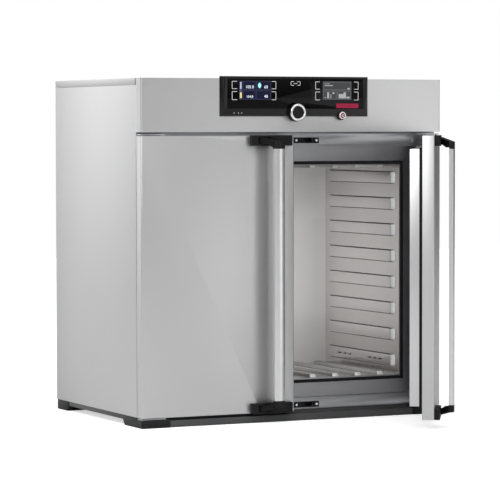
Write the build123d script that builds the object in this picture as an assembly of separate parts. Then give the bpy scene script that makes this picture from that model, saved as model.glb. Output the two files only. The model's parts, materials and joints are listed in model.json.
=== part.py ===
from build123d import *
import os
from math import atan2, cos, degrees, hypot, radians, sin

# Millimetres. X runs to the right, Y to the back and Z up. The origin is on the floor
# at mid width, in the plane of the face frame that the two doors close against.

# Cabinet
cabinet_width = 1224.0
cabinet_height = 1255.0
cabinet_depth = 769.0        # face frame to the rear edge of the side panels
cabinet_bottom = 37.0        # underside of the sheet cabinet above the floor
sheet = 1.5                  # folded sheet, also the chamber lining
seam = 0.5                   # open line between neighbouring panels
fit = 0.3                    # clearance of a piece that is set in a pocket
running = 0.05               # radial clearance of a pin or shaft in its bore
cover_lip = 25.0             # depth of the top cover's folded edge
cover_set_back = 5.0         # top cover behind the face frame plane
header_height = 194.5
rear_panel_inset = 12.0      # rear panel inside the rear edge of the side panels
rear_flange = 15.0
rear_screw_inset = 120.0     # top and bottom screws from the ends of the rear panel
rear_screw_head_height = 2.0

# Base
rail_height = 25.0
front_rail_depth = 60.0
front_rail_ahead = 40.0      # how far the front rail stands ahead of the face frame
side_rail_width = 38.0
side_rail_rise = 20.0
rear_rail_depth = 40.0
rear_rail_rise = 12.0
foot_width = 112.0
front_foot_length = 172.0
rear_foot_length = 114.0
rear_foot_inset = 7.0
foot_step = 7.0              # relief of the front foot below the door and its hinge
foot_taper = 16.0

# Doors, drawn closed
door_gap = 4.0               # between the two doors
door_overhang = 0.5          # door below the sheet cabinet
door_depth = 43.0
door_stand_off = 3.0         # door back to face frame
door_edge_radius = 5.0
header_gap = 13.0            # door top to header
right_door_rest = 58.4       # how far the right door stands open at rest
plug_edge = 47.5             # door edge to plug, top and bottom
plug_hinge_edge = 59.5
plug_free_edge = 14.0
plug_depth = 45.0
gasket_bulb = 4.5
gasket_bulb_depth = 11.0
gasket_lip = 17.5
gasket_free_inset = 0.5

# Door hinges
pin_radius = 4.0
pin_length = 20.0
pin_from_side = 10.0
pin_from_front = 15.0
bush_radius = 8.0
bush_length = 18.0
hinge_plate = 4.0
hinge_leaf = 2.5
hinge_length = 95.0
hinge_leaf_length = 73.0
hinge_leaf_height = 29.0
hinge_door_gap = 2.5

# Door handle and its lock
bracket_edge = 16.0          # free door edge to the bracket
bracket_length = 163.0
bracket_height = 38.0
bracket_depth = 20.0
bracket_above_door = 1.5
bracket_skin = 5.0
bracket_end = 32.0
hub_from_edge = 139.0
hub_radius = 9.5
hub_height = 24.0
hub_stub = 5.0
handle_inset = 90.0          # free door edge to the middle of the bar
bar_width = 42.0
bar_thickness = 20.0
bar_reach = 70.0             # door face to the outer face of the bar
bar_crown = 5.0
bar_wall = 2.5
bar_end_drop = 49.0          # bracket top to the end of the bar
arm_width = 24.0
arm_end_height = 26.0
nose_width = 8.0
nose_height = 8.0
nose_tip_from_edge = 78.0
nose_reach = 4.0             # nose tip behind the face frame plane
lock_pocket_gap = 30.0       # room beside the nose tip in the door as the lever turns
strike_from_edge = 18.0
strike_length = 103.0
strike_height = 21.0
strike_thickness = 2.5
strike_screw_inset = 10.0
screw_radius = 2.0
screw_head_radius = 4.5
screw_head_height = 0.4

# Face frame, recess and chamber
frame_side = 50.0
frame_bottom = 42.0
frame_top = 52.0
recess_depth = 46.0
side_ledge = 74.0            # frame opening to chamber mouth
bottom_ledge = 67.0
top_ledge = 72.0
seal_width = 12.0
seal_from_mouth = 4.0
seal_gap = 0.3               # seal face to closed plug
rib_height = 48.0
rib_pitch = 99.0
rib_rise = 8.0
rib_ramp = 26.0
rib_inset = 32.0
floor_rib_pitch = 95.0
floor_rib_width = 30.0
slot_length = 36.0
slot_height = 5.0
slot_spacing = 42.0
slot_group_spacing = 245.0

# Behind and around the chamber
plenum_depth = 30.0
insulation_back_depth = 47.0
heater_thickness = 3.0
heater_margin = 60.0
motor_radius = 45.0
motor_depth = 24.0
motor_gap = 4.2              # motor to rear panel
shaft_radius = 5.0
shaft_hole = 9.0
fan_radius = 90.0
fan_width = 20.0
fan_blades = 12
fan_plate = 2.0
fan_hub_radius = 14.0
blade_root_radius = 54.0
intake_radius = 70.0
intake_slot = 8.0
tube_radius = 30.0
tube_wall = 3.0
tube_from_side = 168.0       # tube axis inside the chamber's left wall
tube_from_top = 76.0
tube_proud = 6.0
flap_clearance = 0.4
flap_thickness = 2.0
spindle_radius = 2.5
actuator_width = 40.0
actuator_gap = 3.1           # actuator to the insulation and to the rear panel
actuator_height = 34.0
actuator_bore_depth = 14.0
sensor_radius = 3.0
sensor_head_radius = 6.0
sensor_x = 200.0
sensor_from_top = 136.0
sensor_spacing = 22.0
gland_from_side = 162.0
gland_above_bottom = 73.0
gland_radius = 12.0
gland_neck_radius = 8.0
gland_bore_radius = 4.5
gland_length = 10.0

# Control unit on the header
header_overhang = 46.0       # header face ahead of the face frame
unit_beside_glass = 16.5     # control unit's face beside the glass
unit_height = 138.0
unit_rise = 4.0              # control unit above the cabinet's top
unit_depth = 12.0
unit_side_bevel = 10.0
unit_end_bevel = 4.0
unit_wall = 5.0
glass_width = 554.0
glass_height = 108.0
glass_thickness = 3.0
glass_proud = 0.3
glass_from_top = 5.0
glass_ledge = 6.0
display_width = 140.0
display_height = 75.0
display_depth = 14.0
display_centre = 166.0
board_width = 500.0
board_height = 90.0
board_thickness = 2.0
knob_above_unit = 11.0       # knob axis above the control unit's lower edge
knob_ring_radius = 31.5
knob_ring_width = 9.0
knob_ring_depth = 7.0
knob_core_radius = 28.0
knob_core_depth = 12.5
knob_gap = 2.5
knob_shaft_radius = 3.0
knob_shaft_length = 20.0
knob_button_depth = 4.2
knob_button_gap = 0.4
knob_button_stem = 2.5
knob_button_stem_length = 8.0
encoder_radius = 9.0
encoder_length = 27.0
boss_radius = 33.0
power_x = 188.0
power_radius = 14.0
power_depth = 10.0
power_gap = 2.0
power_stem = 5.0
power_stem_length = 20.0
power_switch_radius = 9.0
power_switch_length = 32.0
power_boss_radius = 17.0

# Places worked out from the sizes above
half_width = cabinet_width / 2
door_front = -(door_depth + door_stand_off)
door_back = -door_stand_off
door_bottom = cabinet_bottom - door_overhang
door_top = cabinet_height - header_height - header_gap
door_height = door_top - door_bottom
door_middle = door_bottom + door_height / 2
door_free = door_gap / 2
header_bottom = door_top + header_gap
header_front = -header_overhang
panel_top = cabinet_height - cover_lip - seam
rear_face = cabinet_depth - rear_panel_inset
rear_inner = rear_face - sheet
opening_half = half_width - frame_side
opening_bottom = cabinet_bottom + frame_bottom
opening_top = header_bottom - seam - frame_top
chamber_half = opening_half - side_ledge
chamber_width = 2 * chamber_half
chamber_floor_z = opening_bottom + bottom_ledge
chamber_top = opening_top - top_ledge
chamber_height = chamber_top - chamber_floor_z
chamber_middle = chamber_floor_z + chamber_height / 2
rib_count = round(chamber_height / rib_pitch)
floor_rib_count = int(chamber_width // floor_rib_pitch)
rear_space = motor_depth + motor_gap
chamber_front = recess_depth
chamber_back = rear_inner - rear_space - insulation_back_depth - plenum_depth - 2 * sheet - fit
chamber_depth = chamber_back - chamber_front
plenum_back = chamber_back + sheet + plenum_depth
insulation_back_start = plenum_back + sheet + fit
insulation_back_end = insulation_back_start + insulation_back_depth
plug_free = door_free + plug_free_edge
plug_hinge = half_width - plug_hinge_edge
plug_bottom = door_bottom + plug_edge
plug_top = door_top - plug_edge
plug_face = door_back + plug_depth
pin_x = half_width - pin_from_side
pin_y = door_front + pin_from_front
tube_x = tube_from_side - chamber_half
tube_z = chamber_top - tube_from_top
flap_y = rear_inner - rear_space / 2
actuator_depth = rear_space - 2 * actuator_gap
sensor_z = chamber_top - sensor_from_top
gland_x = half_width - gland_from_side
gland_z = cabinet_bottom + gland_above_bottom
hub_x = door_free + hub_from_edge
hub_y = door_front - bracket_depth / 2
bracket_top = door_top + bracket_above_door
bracket_bottom = bracket_top - bracket_height
hub_middle = (bracket_top + bracket_bottom) / 2
bar_x = door_free + handle_inset
bar_outer = door_front - bar_reach
bar_inner = bar_outer + bar_thickness
bar_top = bracket_top - bar_end_drop
nose_tip_x = door_free + nose_tip_from_edge
strike_x = door_free + strike_from_edge
unit_width = glass_width + 2 * unit_beside_glass
unit_top = cabinet_height + unit_rise
unit_bottom = unit_top - unit_height
knob_z = unit_bottom + knob_above_unit
power_z = unit_bottom
unit_front = header_front - unit_depth
glass_top = unit_top - glass_from_top
glass_bottom = glass_top - glass_height
actuator_bottom = tube_z + tube_radius + fit


def block(x0, x1, y0, y1, z0, z1):
    centre = Pos((x0 + x1) / 2, (y0 + y1) / 2, (z0 + z1) / 2)
    return centre * Box(x1 - x0, y1 - y0, z1 - z0)


def upright_rod(x, y, z0, z1, radius):
    return Pos(x, y, (z0 + z1) / 2) * Cylinder(radius, z1 - z0)


def level_rod(x, z, y0, y1, radius):
    return Pos(x, (y0 + y1) / 2, z) * Rot(90, 0, 0) * Cylinder(radius, y1 - y0)


def other_side(shape):
    return mirror(shape, about=Plane.YZ)


def other_end(shape):
    return mirror(shape, about=Plane.XY.offset(door_middle))


def both_sides(shape):
    return [shape, other_side(shape)]


def both_ends(shape):
    return [shape, other_end(shape)]


def joined(pieces):
    whole = pieces[0]
    for piece in pieces[1:]:
        whole = whole + piece
    return whole


def front_rounded(x0, x1, y0, y1, z0, z1, radius):
    body = block(x0, x1, y0, y1, z0, z1)
    front_edges = body.edges().filter_by(Axis.Z).group_by(Axis.Y)[0]
    return fillet(front_edges, radius)


# Base: rails between four moulded feet


def make_base_side_rails():
    y0 = header_front + front_foot_length + fit
    y1 = cabinet_depth - rear_foot_inset - rear_foot_length - fit
    rail = block(half_width - side_rail_width - sheet, half_width - sheet, y0, y1,
                 side_rail_rise, cabinet_bottom)
    return both_sides(rail)


def make_base_cross_rails():
    half = half_width - foot_width
    front_end = front_rail_depth - front_rail_ahead
    front = block(-half, half, -front_rail_ahead, front_end, 0, rail_height)
    front = front + block(-half, half, sheet, front_end, rail_height, cabinet_bottom)
    rear_end = cabinet_depth - rear_foot_inset - fit
    rear = block(-half, half, rear_end - rear_rail_depth, rear_end, rear_rail_rise, cabinet_bottom)
    return [front, rear]


def make_front_feet():
    x0 = half_width - foot_width
    y0 = header_front
    y1 = header_front + front_foot_length
    foot = block(x0, half_width, y0, y1, 0, cabinet_bottom)
    foot = foot - block(x0, half_width, y0, 0, cabinet_bottom - foot_step, cabinet_bottom)
    rear_edge = foot.edges().filter_by(Axis.X).group_by(Axis.Y)[-1].sort_by(Axis.Z)[0]
    foot = chamfer(rear_edge, foot_taper)
    corner = foot.edges().filter_by(Axis.Z).group_by(Axis.Y)[0].sort_by(Axis.X)[-1]
    return both_sides(fillet(corner, door_edge_radius))


def make_rear_feet():
    y1 = cabinet_depth - rear_foot_inset
    y0 = y1 - rear_foot_length
    foot = block(half_width - foot_width, half_width, y0, y1, 0, cabinet_bottom)
    front_edge = foot.edges().filter_by(Axis.X).group_by(Axis.Y)[0].sort_by(Axis.Z)[0]
    return both_sides(chamfer(front_edge, foot_taper))


# Cabinet sheets


def make_side_panel():
    panel = block(half_width - sheet, half_width, 0, cabinet_depth, cabinet_bottom, panel_top)
    flange = block(half_width - rear_flange, half_width - sheet, cabinet_depth - sheet, cabinet_depth,
                   cabinet_bottom, panel_top)
    return panel + flange


def make_top_cover():
    outer = block(-half_width, half_width, cover_set_back, cabinet_depth,
                  cabinet_height - cover_lip, cabinet_height)
    inner = block(-half_width + sheet, half_width - sheet, cover_set_back - sheet, cabinet_depth - sheet,
                  cabinet_height - cover_lip - sheet, cabinet_height - sheet)
    return outer - inner


def make_rear_panel():
    half = half_width - sheet - fit
    panel = block(-half, half, rear_inner, rear_face, cabinet_bottom + sheet + fit, panel_top)
    panel = panel - level_rod(tube_x, tube_z, rear_inner - sheet, rear_face + sheet, tube_radius + fit)
    return panel - level_rod(gland_x, gland_z, rear_inner - sheet, rear_face + sheet,
                             gland_neck_radius + fit)


def make_bottom_panel():
    half = half_width - sheet - fit
    return block(-half, half, sheet + fit, rear_face, cabinet_bottom, cabinet_bottom + sheet)


def make_header_fascia():
    outer = front_rounded(-half_width, half_width, header_front, -seam, header_bottom, cabinet_height,
                          door_edge_radius)
    inner = front_rounded(-half_width + sheet, half_width - sheet, header_front + sheet, sheet,
                          header_bottom + sheet, cabinet_height - sheet, door_edge_radius - sheet)
    fascia = outer - inner
    window_half = glass_width / 2 + glass_ledge
    through = (header_front - sheet, header_front + 2 * sheet)
    window = block(-window_half, window_half, *through, glass_bottom - glass_ledge,
                   glass_top - glass_ledge)
    fascia = fascia - window
    fascia = fascia - level_rod(0, knob_z, *through, encoder_radius + fit)
    return fascia - level_rod(power_x, power_z, *through, power_switch_radius + fit)


# Face frame and recess that the doors close into


def make_front_frame_outer():
    ring = block(-half_width + sheet + fit, half_width - sheet - fit, 0, sheet, cabinet_bottom,
                 header_bottom - seam)
    ring = ring - block(-opening_half, opening_half, -sheet, 2 * sheet, opening_bottom, opening_top)
    for slot in nose_slots(-sheet, 2 * sheet):
        ring = ring - slot
    return ring


def nose_slots(y0, y1):
    slot = block(nose_tip_x - 2 * nose_width, nose_tip_x + 2 * nose_width, y0, y1,
                 hub_middle - nose_height, hub_middle + nose_height)
    return [end for side in both_sides(slot) for end in both_ends(side)]


def make_front_frame_inner():
    outer = block(-opening_half - sheet, opening_half + sheet, sheet + fit, recess_depth + sheet,
                  opening_bottom - sheet, opening_top + sheet)
    recess = block(-opening_half, opening_half, 0, recess_depth, opening_bottom, opening_top)
    mouth = block(-chamber_half, chamber_half, 0, recess_depth + 2 * sheet, chamber_floor_z, chamber_top)
    return outer - recess - mouth


def make_mouth_seal():
    inner_half = chamber_half + seal_from_mouth
    outer_half = inner_half + seal_width
    y0 = plug_face + seal_gap
    ring = block(-outer_half, outer_half, y0, recess_depth,
                 chamber_floor_z - seal_from_mouth - seal_width, chamber_top + seal_from_mouth + seal_width)
    return ring - block(-inner_half, inner_half, y0 - sheet, recess_depth + sheet,
                        chamber_floor_z - seal_from_mouth, chamber_top + seal_from_mouth)


def make_strike_plates():
    plate = block(strike_x, strike_x + strike_length, -strike_thickness, 0,
                  hub_middle - strike_height / 2, hub_middle + strike_height / 2)
    for x in strike_screw_places():
        plate = plate - level_rod(x, hub_middle, -2 * strike_thickness, sheet, screw_radius + running)
    whole = [end for side in both_sides(plate) for end in both_ends(side)]
    slots = nose_slots(-2 * strike_thickness, sheet)
    return [plate - joined(slots) for plate in whole]


def strike_screw_places():
    return [strike_x + strike_screw_inset, strike_x + strike_length - strike_screw_inset]


def make_strike_screws():
    screws = []
    for x in strike_screw_places():
        head = level_rod(x, hub_middle, -strike_thickness - screw_head_height, -strike_thickness,
                         screw_head_radius)
        shank = level_rod(x, hub_middle, -strike_thickness, 0, screw_radius)
        for side in both_sides(head + shank):
            screws = screws + both_ends(side)
    return screws


def make_hinge_brackets():
    z0 = door_top + hinge_door_gap
    x1 = half_width - sheet
    plate = block(x1 - hinge_length, x1, pin_y - pin_from_side, 0, z0, z0 + hinge_plate)
    leaf = block(x1 - hinge_length, x1 - hinge_length + hinge_leaf_length, -hinge_leaf, 0,
                 z0 - hinge_leaf_height, z0)
    pin = upright_rod(pin_x, pin_y, z0 - pin_length, z0, pin_radius)
    return [end for side in both_sides(plate + leaf + pin) for end in both_ends(side)]


# Chamber lining with its pressed ribs


def rib(length, width, rise):
    side = Polyline((-length / 2, 0), (-length / 2 + rib_ramp, rise), (length / 2 - rib_ramp, rise),
                    (length / 2, 0), close=True)
    body = extrude(make_face(Plane.XZ * side), width / 2, both=True)
    long_edges = body.edges().filter_by(Axis.X).group_by(Axis.Z)[-1]
    return chamfer(long_edges, rise - sheet)


def pressed_rib(length, width):
    hollow = Pos(0, 0, -sheet) * rib(length, width - 2 * sheet, rib_rise)
    return rib(length, width, rib_rise), hollow


def lining(plate, places, length, width):
    raised, hollow = pressed_rib(length, width)
    for place in places:
        plate = plate + place * raised
    for place in places:
        plate = plate - place * hollow
    return plate


def make_chamber_wall():
    wall = block(chamber_half, chamber_half + sheet, chamber_front + sheet + fit, chamber_back,
                 chamber_floor_z - sheet, chamber_top + sheet)
    length = chamber_depth - 2 * rib_inset
    middle_y = (chamber_front + chamber_back) / 2
    lowest = chamber_middle - (rib_count - 1) / 2 * rib_pitch
    places = [Pos(chamber_half, middle_y, lowest + i * rib_pitch) * Rot(0, -90, 0) * Rot(0, 0, 90)
              for i in range(rib_count)]
    wall = lining(wall, places, length, rib_height)
    for group in (-1, 1):
        for i in (-1, 0, 1):
            y = middle_y + group * slot_group_spacing / 2 + i * slot_spacing
            wall = wall - block(chamber_half - 2 * rib_rise, chamber_half + sheet,
                                y - slot_length / 2, y + slot_length / 2,
                                lowest - slot_height / 2, lowest + slot_height / 2)
    return wall


def make_chamber_floor():
    plate = block(-chamber_half + fit, chamber_half - fit, chamber_front + sheet + fit, chamber_back,
                  chamber_floor_z - sheet, chamber_floor_z)
    return lining(plate, level_rib_places(chamber_floor_z, 0), chamber_depth - 2 * rib_inset,
                  floor_rib_width)


def make_chamber_ceiling():
    plate = block(-chamber_half + fit, chamber_half - fit, chamber_front + sheet + fit, chamber_back,
                  chamber_top, chamber_top + sheet)
    return lining(plate, level_rib_places(chamber_top, 180), chamber_depth - 2 * rib_inset,
                  floor_rib_width)


def level_rib_places(z, turn):
    middle_y = (chamber_front + chamber_back) / 2
    first = -(floor_rib_count - 1) / 2 * floor_rib_pitch
    return [Pos(first + i * floor_rib_pitch, middle_y, z) * Rot(0, turn, 0) * Rot(0, 0, 90)
            for i in range(floor_rib_count)]


def make_air_baffle():
    plate = block(-chamber_half - sheet, chamber_half + sheet, chamber_back, chamber_back + sheet,
                  chamber_floor_z - sheet, chamber_top + sheet)
    slot = block(-intake_slot / 2, intake_slot / 2, chamber_back - sheet, chamber_back + 2 * sheet,
                 intake_radius / 3, intake_radius)
    for i in range(fan_blades):
        plate = plate - Pos(0, 0, chamber_middle) * Rot(0, 360 / fan_blades * i, 0) * slot
    return plate


def make_chamber_back_wall():
    x = chamber_half + sheet
    back = block(-x, x, chamber_back + sheet, plenum_back + sheet, chamber_floor_z - sheet,
                 chamber_top + sheet)
    hollow = block(-x + sheet, x - sheet, chamber_back, plenum_back, chamber_floor_z, chamber_top)
    back = back - hollow
    through = (plenum_back - sheet, plenum_back + 2 * sheet)
    back = back - level_rod(0, chamber_middle, *through, shaft_hole)
    back = back - level_rod(tube_x, tube_z, *through, tube_radius + fit)
    for x in sensor_places():
        back = back - level_rod(x, sensor_z, *through, sensor_radius + fit)
    return back


def sensor_places():
    return [sensor_x, sensor_x + sensor_spacing]


# Heating and insulation


def make_heater_plates():
    y0 = chamber_front + heater_margin
    y1 = chamber_back - heater_margin
    near = sheet + fit
    side = block(chamber_half + near, chamber_half + near + heater_thickness, y0, y1,
                 chamber_floor_z + heater_margin, chamber_top - heater_margin)
    x = chamber_half - heater_margin
    floor = block(-x, x, y0, y1, chamber_floor_z - near - heater_thickness, chamber_floor_z - near)
    ceiling = block(-x, x, y0, y1, chamber_top + near, chamber_top + near + heater_thickness)
    return both_sides(side) + [floor, ceiling]


def make_insulation_slabs():
    near = sheet + heater_thickness + 2 * fit
    y0 = recess_depth + sheet + fit
    y1 = insulation_back_start - fit
    x_in = chamber_half + near
    low = cabinet_bottom + sheet + fit
    side = block(x_in, half_width - sheet - fit, y0, y1, low, header_bottom - seam)
    floor = block(-x_in + fit, x_in - fit, y0, y1, low, chamber_floor_z - near)
    ceiling = block(-x_in + fit, x_in - fit, y0, y1, chamber_top + near, header_bottom - seam)
    return both_sides(side) + [floor, ceiling]


def make_insulation_back():
    x = half_width - sheet - fit
    slab = block(-x, x, insulation_back_start, insulation_back_end, cabinet_bottom + sheet + fit,
                 header_bottom - seam)
    through = (insulation_back_start - fit, insulation_back_end + fit)
    slab = slab - level_rod(0, chamber_middle, *through, shaft_hole)
    slab = slab - level_rod(tube_x, tube_z, *through, tube_radius + fit)
    for x in sensor_places():
        slab = slab - level_rod(x, sensor_z, *through, sensor_radius + fit)
    return slab


def make_temperature_sensors():
    sensors = []
    for x in sensor_places():
        rod = level_rod(x, sensor_z, chamber_back + sheet + plenum_depth / 3, insulation_back_end + fit,
                        sensor_radius)
        head = level_rod(x, sensor_z, insulation_back_end + fit, insulation_back_end + 2 * sensor_radius,
                         sensor_head_radius)
        sensors.append(rod + head)
    return sensors


# Circulation fan


def make_fan_motor():
    y0 = insulation_back_end + fit
    motor = level_rod(0, chamber_middle, y0, y0 + motor_depth, motor_radius)
    return motor - level_rod(0, chamber_middle, y0 - fit, y0 + motor_depth - sheet, shaft_radius + running)


def fan_front():
    return chamber_back + sheet + (plenum_depth - fan_width) / 2


def make_fan_shaft():
    return level_rod(0, chamber_middle, fan_front(), insulation_back_end + motor_depth - 2 * sheet,
                     shaft_radius)


def make_fan_wheel():
    y0 = fan_front()
    plate = level_rod(0, chamber_middle, y0 + fan_width - fan_plate, y0 + fan_width, fan_radius)
    hub = level_rod(0, chamber_middle, y0, y0 + fan_width, fan_hub_radius)
    blade = block(-fan_plate / 2, fan_plate / 2, y0, y0 + fan_width - fan_plate, blade_root_radius,
                  fan_radius - fan_plate)
    wheel = plate + hub
    for i in range(fan_blades):
        wheel = wheel + Pos(0, 0, chamber_middle) * Rot(0, 360 / fan_blades * i, 0) * blade
    return wheel - level_rod(0, chamber_middle, y0 - sheet, y0 + fan_width + sheet, shaft_radius)


# Exhaust air valve


def make_exhaust_tube():
    y0 = plenum_back
    y1 = rear_face + tube_proud
    tube = level_rod(tube_x, tube_z, y0, y1, tube_radius)
    tube = tube - level_rod(tube_x, tube_z, y0 - sheet, y1 + sheet, tube_radius - tube_wall)
    return tube - upright_rod(tube_x, flap_y, tube_z - 2 * tube_radius, tube_z + 2 * tube_radius,
                              spindle_radius + running)


def make_air_flap():
    radius = tube_radius - tube_wall - flap_clearance
    disc = level_rod(tube_x, tube_z, flap_y - flap_thickness / 2, flap_y + flap_thickness / 2, radius)
    spindle = upright_rod(tube_x, flap_y, tube_z - tube_radius + fit,
                          actuator_bottom + actuator_bore_depth - fit, spindle_radius)
    return disc + spindle


def make_flap_actuator():
    box = block(tube_x - actuator_width / 2, tube_x + actuator_width / 2,
                flap_y - actuator_depth / 2, flap_y + actuator_depth / 2,
                actuator_bottom, actuator_bottom + actuator_height)
    return box - upright_rod(tube_x, flap_y, actuator_bottom - fit, actuator_bottom + actuator_bore_depth,
                             spindle_radius + running)


def make_mains_gland():
    outside = level_rod(gland_x, gland_z, rear_face, rear_face + gland_length, gland_radius)
    neck = level_rod(gland_x, gland_z, rear_inner - gland_length, rear_face, gland_neck_radius)
    return outside + neck - level_rod(gland_x, gland_z, rear_inner - 2 * gland_length,
                                      rear_face + 2 * gland_length, gland_bore_radius)


def make_rear_screws():
    screws = []
    x = half_width - rear_flange - screw_head_radius
    low = cabinet_bottom + rear_screw_inset
    high = panel_top - rear_screw_inset
    for z in (low, (low + high) / 2, high):
        head = level_rod(x, z, rear_face, rear_face + rear_screw_head_height, screw_head_radius)
        screws = screws + both_sides(head)
    return screws


# Control unit


def unit_shell(grow, y0, y1):
    width_in = unit_width + 2 * unit_side_bevel
    height_in = unit_height + 2 * unit_end_bevel
    middle = (unit_bottom + unit_top) / 2
    back = Pos(0, y1, middle) * Rot(90, 0, 0) * Rectangle(width_in + grow, height_in + grow)
    front = Pos(0, y0, middle) * Rot(90, 0, 0) * Rectangle(unit_width + grow, unit_height + grow)
    return loft([back.face(), front.face()])


def make_control_housing():
    body = unit_shell(0, unit_front, header_front)
    body = body + level_rod(0, knob_z, unit_front, header_front, boss_radius)
    body = body + level_rod(power_x, power_z, unit_front, header_front, power_boss_radius)
    half = glass_width / 2 + fit
    body = body - block(-half, half, unit_front - unit_depth, unit_front + glass_thickness - glass_proud,
                        glass_bottom - fit, glass_top + fit)
    half = glass_width / 2 - glass_ledge
    body = body - block(-half, half, unit_front - unit_depth, header_front + sheet,
                        glass_bottom + glass_ledge, glass_top - glass_ledge)
    half = unit_width / 2 - unit_wall
    body = body - block(-half, half, unit_front + unit_wall, header_front + sheet,
                        unit_bottom + unit_wall, unit_top - unit_wall)
    body = body - level_rod(0, knob_z, unit_front - sheet, header_front + sheet, encoder_radius + fit)
    return body - level_rod(power_x, power_z, unit_front - sheet, header_front + sheet,
                            power_switch_radius + fit)


def make_control_glass():
    half = glass_width / 2
    y0 = unit_front - glass_proud
    return block(-half, half, y0, y0 + glass_thickness, glass_bottom, glass_top)


def display_back():
    return unit_front - glass_proud + glass_thickness + display_depth


def make_display_modules():
    y0 = unit_front - glass_proud + glass_thickness
    z1 = glass_top - glass_ledge - fit
    module = block(display_centre - display_width / 2, display_centre + display_width / 2, y0,
                   display_back(), z1 - display_height, z1)
    return both_sides(module)


def make_control_board():
    z1 = glass_top - glass_ledge - fit
    y0 = display_back()
    return block(-board_width / 2, board_width / 2, y0, y0 + board_thickness, z1 - board_height, z1)


def make_encoder():
    y0 = unit_front + fit
    body = level_rod(0, knob_z, y0, y0 + encoder_length, encoder_radius)
    return body - level_rod(0, knob_z, y0 - fit, y0 + encoder_length + fit, knob_shaft_radius + running)


def knob_core_back():
    return unit_front - knob_gap


def knob_core_front():
    return knob_core_back() - knob_core_depth


def make_knob_core():
    core = level_rod(0, knob_z, knob_core_front(), knob_core_back(), knob_core_radius)
    shaft = level_rod(0, knob_z, knob_core_back(), knob_core_back() + knob_shaft_length,
                      knob_shaft_radius)
    bore = level_rod(0, knob_z, knob_core_front() - sheet, knob_core_front() + knob_button_stem_length,
                     knob_button_stem + running)
    return core + shaft - bore


def make_knob_ring():
    y1 = knob_core_front()
    ring = level_rod(0, knob_z, y1 - knob_ring_depth, y1, knob_ring_radius)
    ring = ring - level_rod(0, knob_z, y1 - 2 * knob_ring_depth, y1 + sheet,
                            knob_ring_radius - knob_ring_width)
    rims = ring.edges().filter_by(GeomType.CIRCLE).group_by(Axis.Y)[0]
    return fillet(rims, knob_ring_width / 4)


def make_knob_button():
    radius = knob_ring_radius - knob_ring_width - knob_button_gap
    y0 = knob_core_front() - knob_ring_depth + knob_button_gap
    dial = level_rod(0, knob_z, y0, y0 + knob_button_depth, radius)
    stem = level_rod(0, knob_z, y0 + knob_button_depth, y0 + knob_button_depth + knob_button_stem_length,
                     knob_button_stem)
    return dial + stem


def make_power_button():
    y1 = unit_front - power_gap
    cap = level_rod(power_x, power_z, y1 - power_depth, y1, power_radius)
    rim = cap.edges().filter_by(GeomType.CIRCLE).group_by(Axis.Y)[0]
    cap = fillet(rim, power_radius / 8)
    return cap + level_rod(power_x, power_z, y1, y1 + power_stem_length, power_stem)


def make_power_switch():
    y0 = unit_front + fit
    body = level_rod(power_x, power_z, y0, y0 + power_switch_length, power_switch_radius)
    return body - level_rod(power_x, power_z, y0 - fit, y0 + power_switch_length + fit,
                            power_stem + running)


# One door, drawn closed on the right


def lock_pocket(y0, y1):
    pocket = block(nose_tip_x - lock_pocket_gap, hub_x + nose_width / 2, y0, y1, hub_middle - nose_height,
                   hub_middle + nose_height)
    return joined(both_ends(pocket))


def make_door_shell():
    outer = front_rounded(door_free, half_width, door_front, door_back, door_bottom, door_top,
                          door_edge_radius)
    inner = front_rounded(door_free + sheet, half_width - sheet, door_front + sheet, door_back + sheet,
                          door_bottom + sheet, door_top - sheet, door_edge_radius - sheet)
    shell = outer - inner
    shell = shell - upright_rod(pin_x, pin_y, door_bottom - sheet, door_top + sheet, pin_radius + fit)
    return shell - lock_pocket(door_front - sheet, door_front + 2 * sheet)


def make_door_bushes():
    z1 = door_top - sheet
    bush = upright_rod(pin_x, pin_y, z1 - bush_length, z1, bush_radius)
    bush = bush - upright_rod(pin_x, pin_y, z1 - bush_length - sheet, z1 + sheet, pin_radius + running)
    return both_ends(bush)


def make_door_core():
    gap = sheet + fit
    core = front_rounded(door_free + gap, half_width - gap, door_front + gap, door_back - gap,
                         door_bottom + gap, door_top - gap, door_edge_radius - sheet)
    core = core + block(plug_free + gap, plug_hinge - gap, door_back - gap, plug_face - gap,
                        plug_bottom + gap, plug_top - gap)
    hole = upright_rod(pin_x, pin_y, door_top - sheet - bush_length - fit, door_top, bush_radius + fit)
    core = core - joined(both_ends(hole))
    return core - lock_pocket(door_front, door_back)


def make_door_plug():
    flange = block(door_free + sheet, half_width - sheet, door_back - sheet, door_back,
                   door_bottom + sheet, door_top - sheet)
    plug = block(plug_free, plug_hinge, door_back, plug_face, plug_bottom, plug_top)
    hollow = block(plug_free + sheet, plug_hinge - sheet, door_back - 2 * sheet, plug_face - sheet,
                   plug_bottom + sheet, plug_top - sheet)
    slot = block(nose_tip_x - 2 * nose_width, nose_tip_x + 2 * nose_width, door_back - 2 * sheet,
                 door_back + sheet, hub_middle - nose_height, hub_middle + nose_height)
    return flange + plug - hollow - joined(both_ends(slot))


def make_door_gasket():
    x0 = door_free + gasket_free_inset
    plug_hole = block(plug_free, plug_hinge, door_back - sheet, plug_face, plug_bottom, plug_top)
    lip = block(x0, plug_hinge + gasket_lip, door_back, -fit, plug_bottom - gasket_lip,
                plug_top + gasket_lip)
    bulb = block(x0, plug_hinge + gasket_bulb, door_back, door_back + gasket_bulb_depth,
                 plug_bottom - gasket_bulb, plug_top + gasket_bulb)
    return lip + bulb - plug_hole


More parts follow.
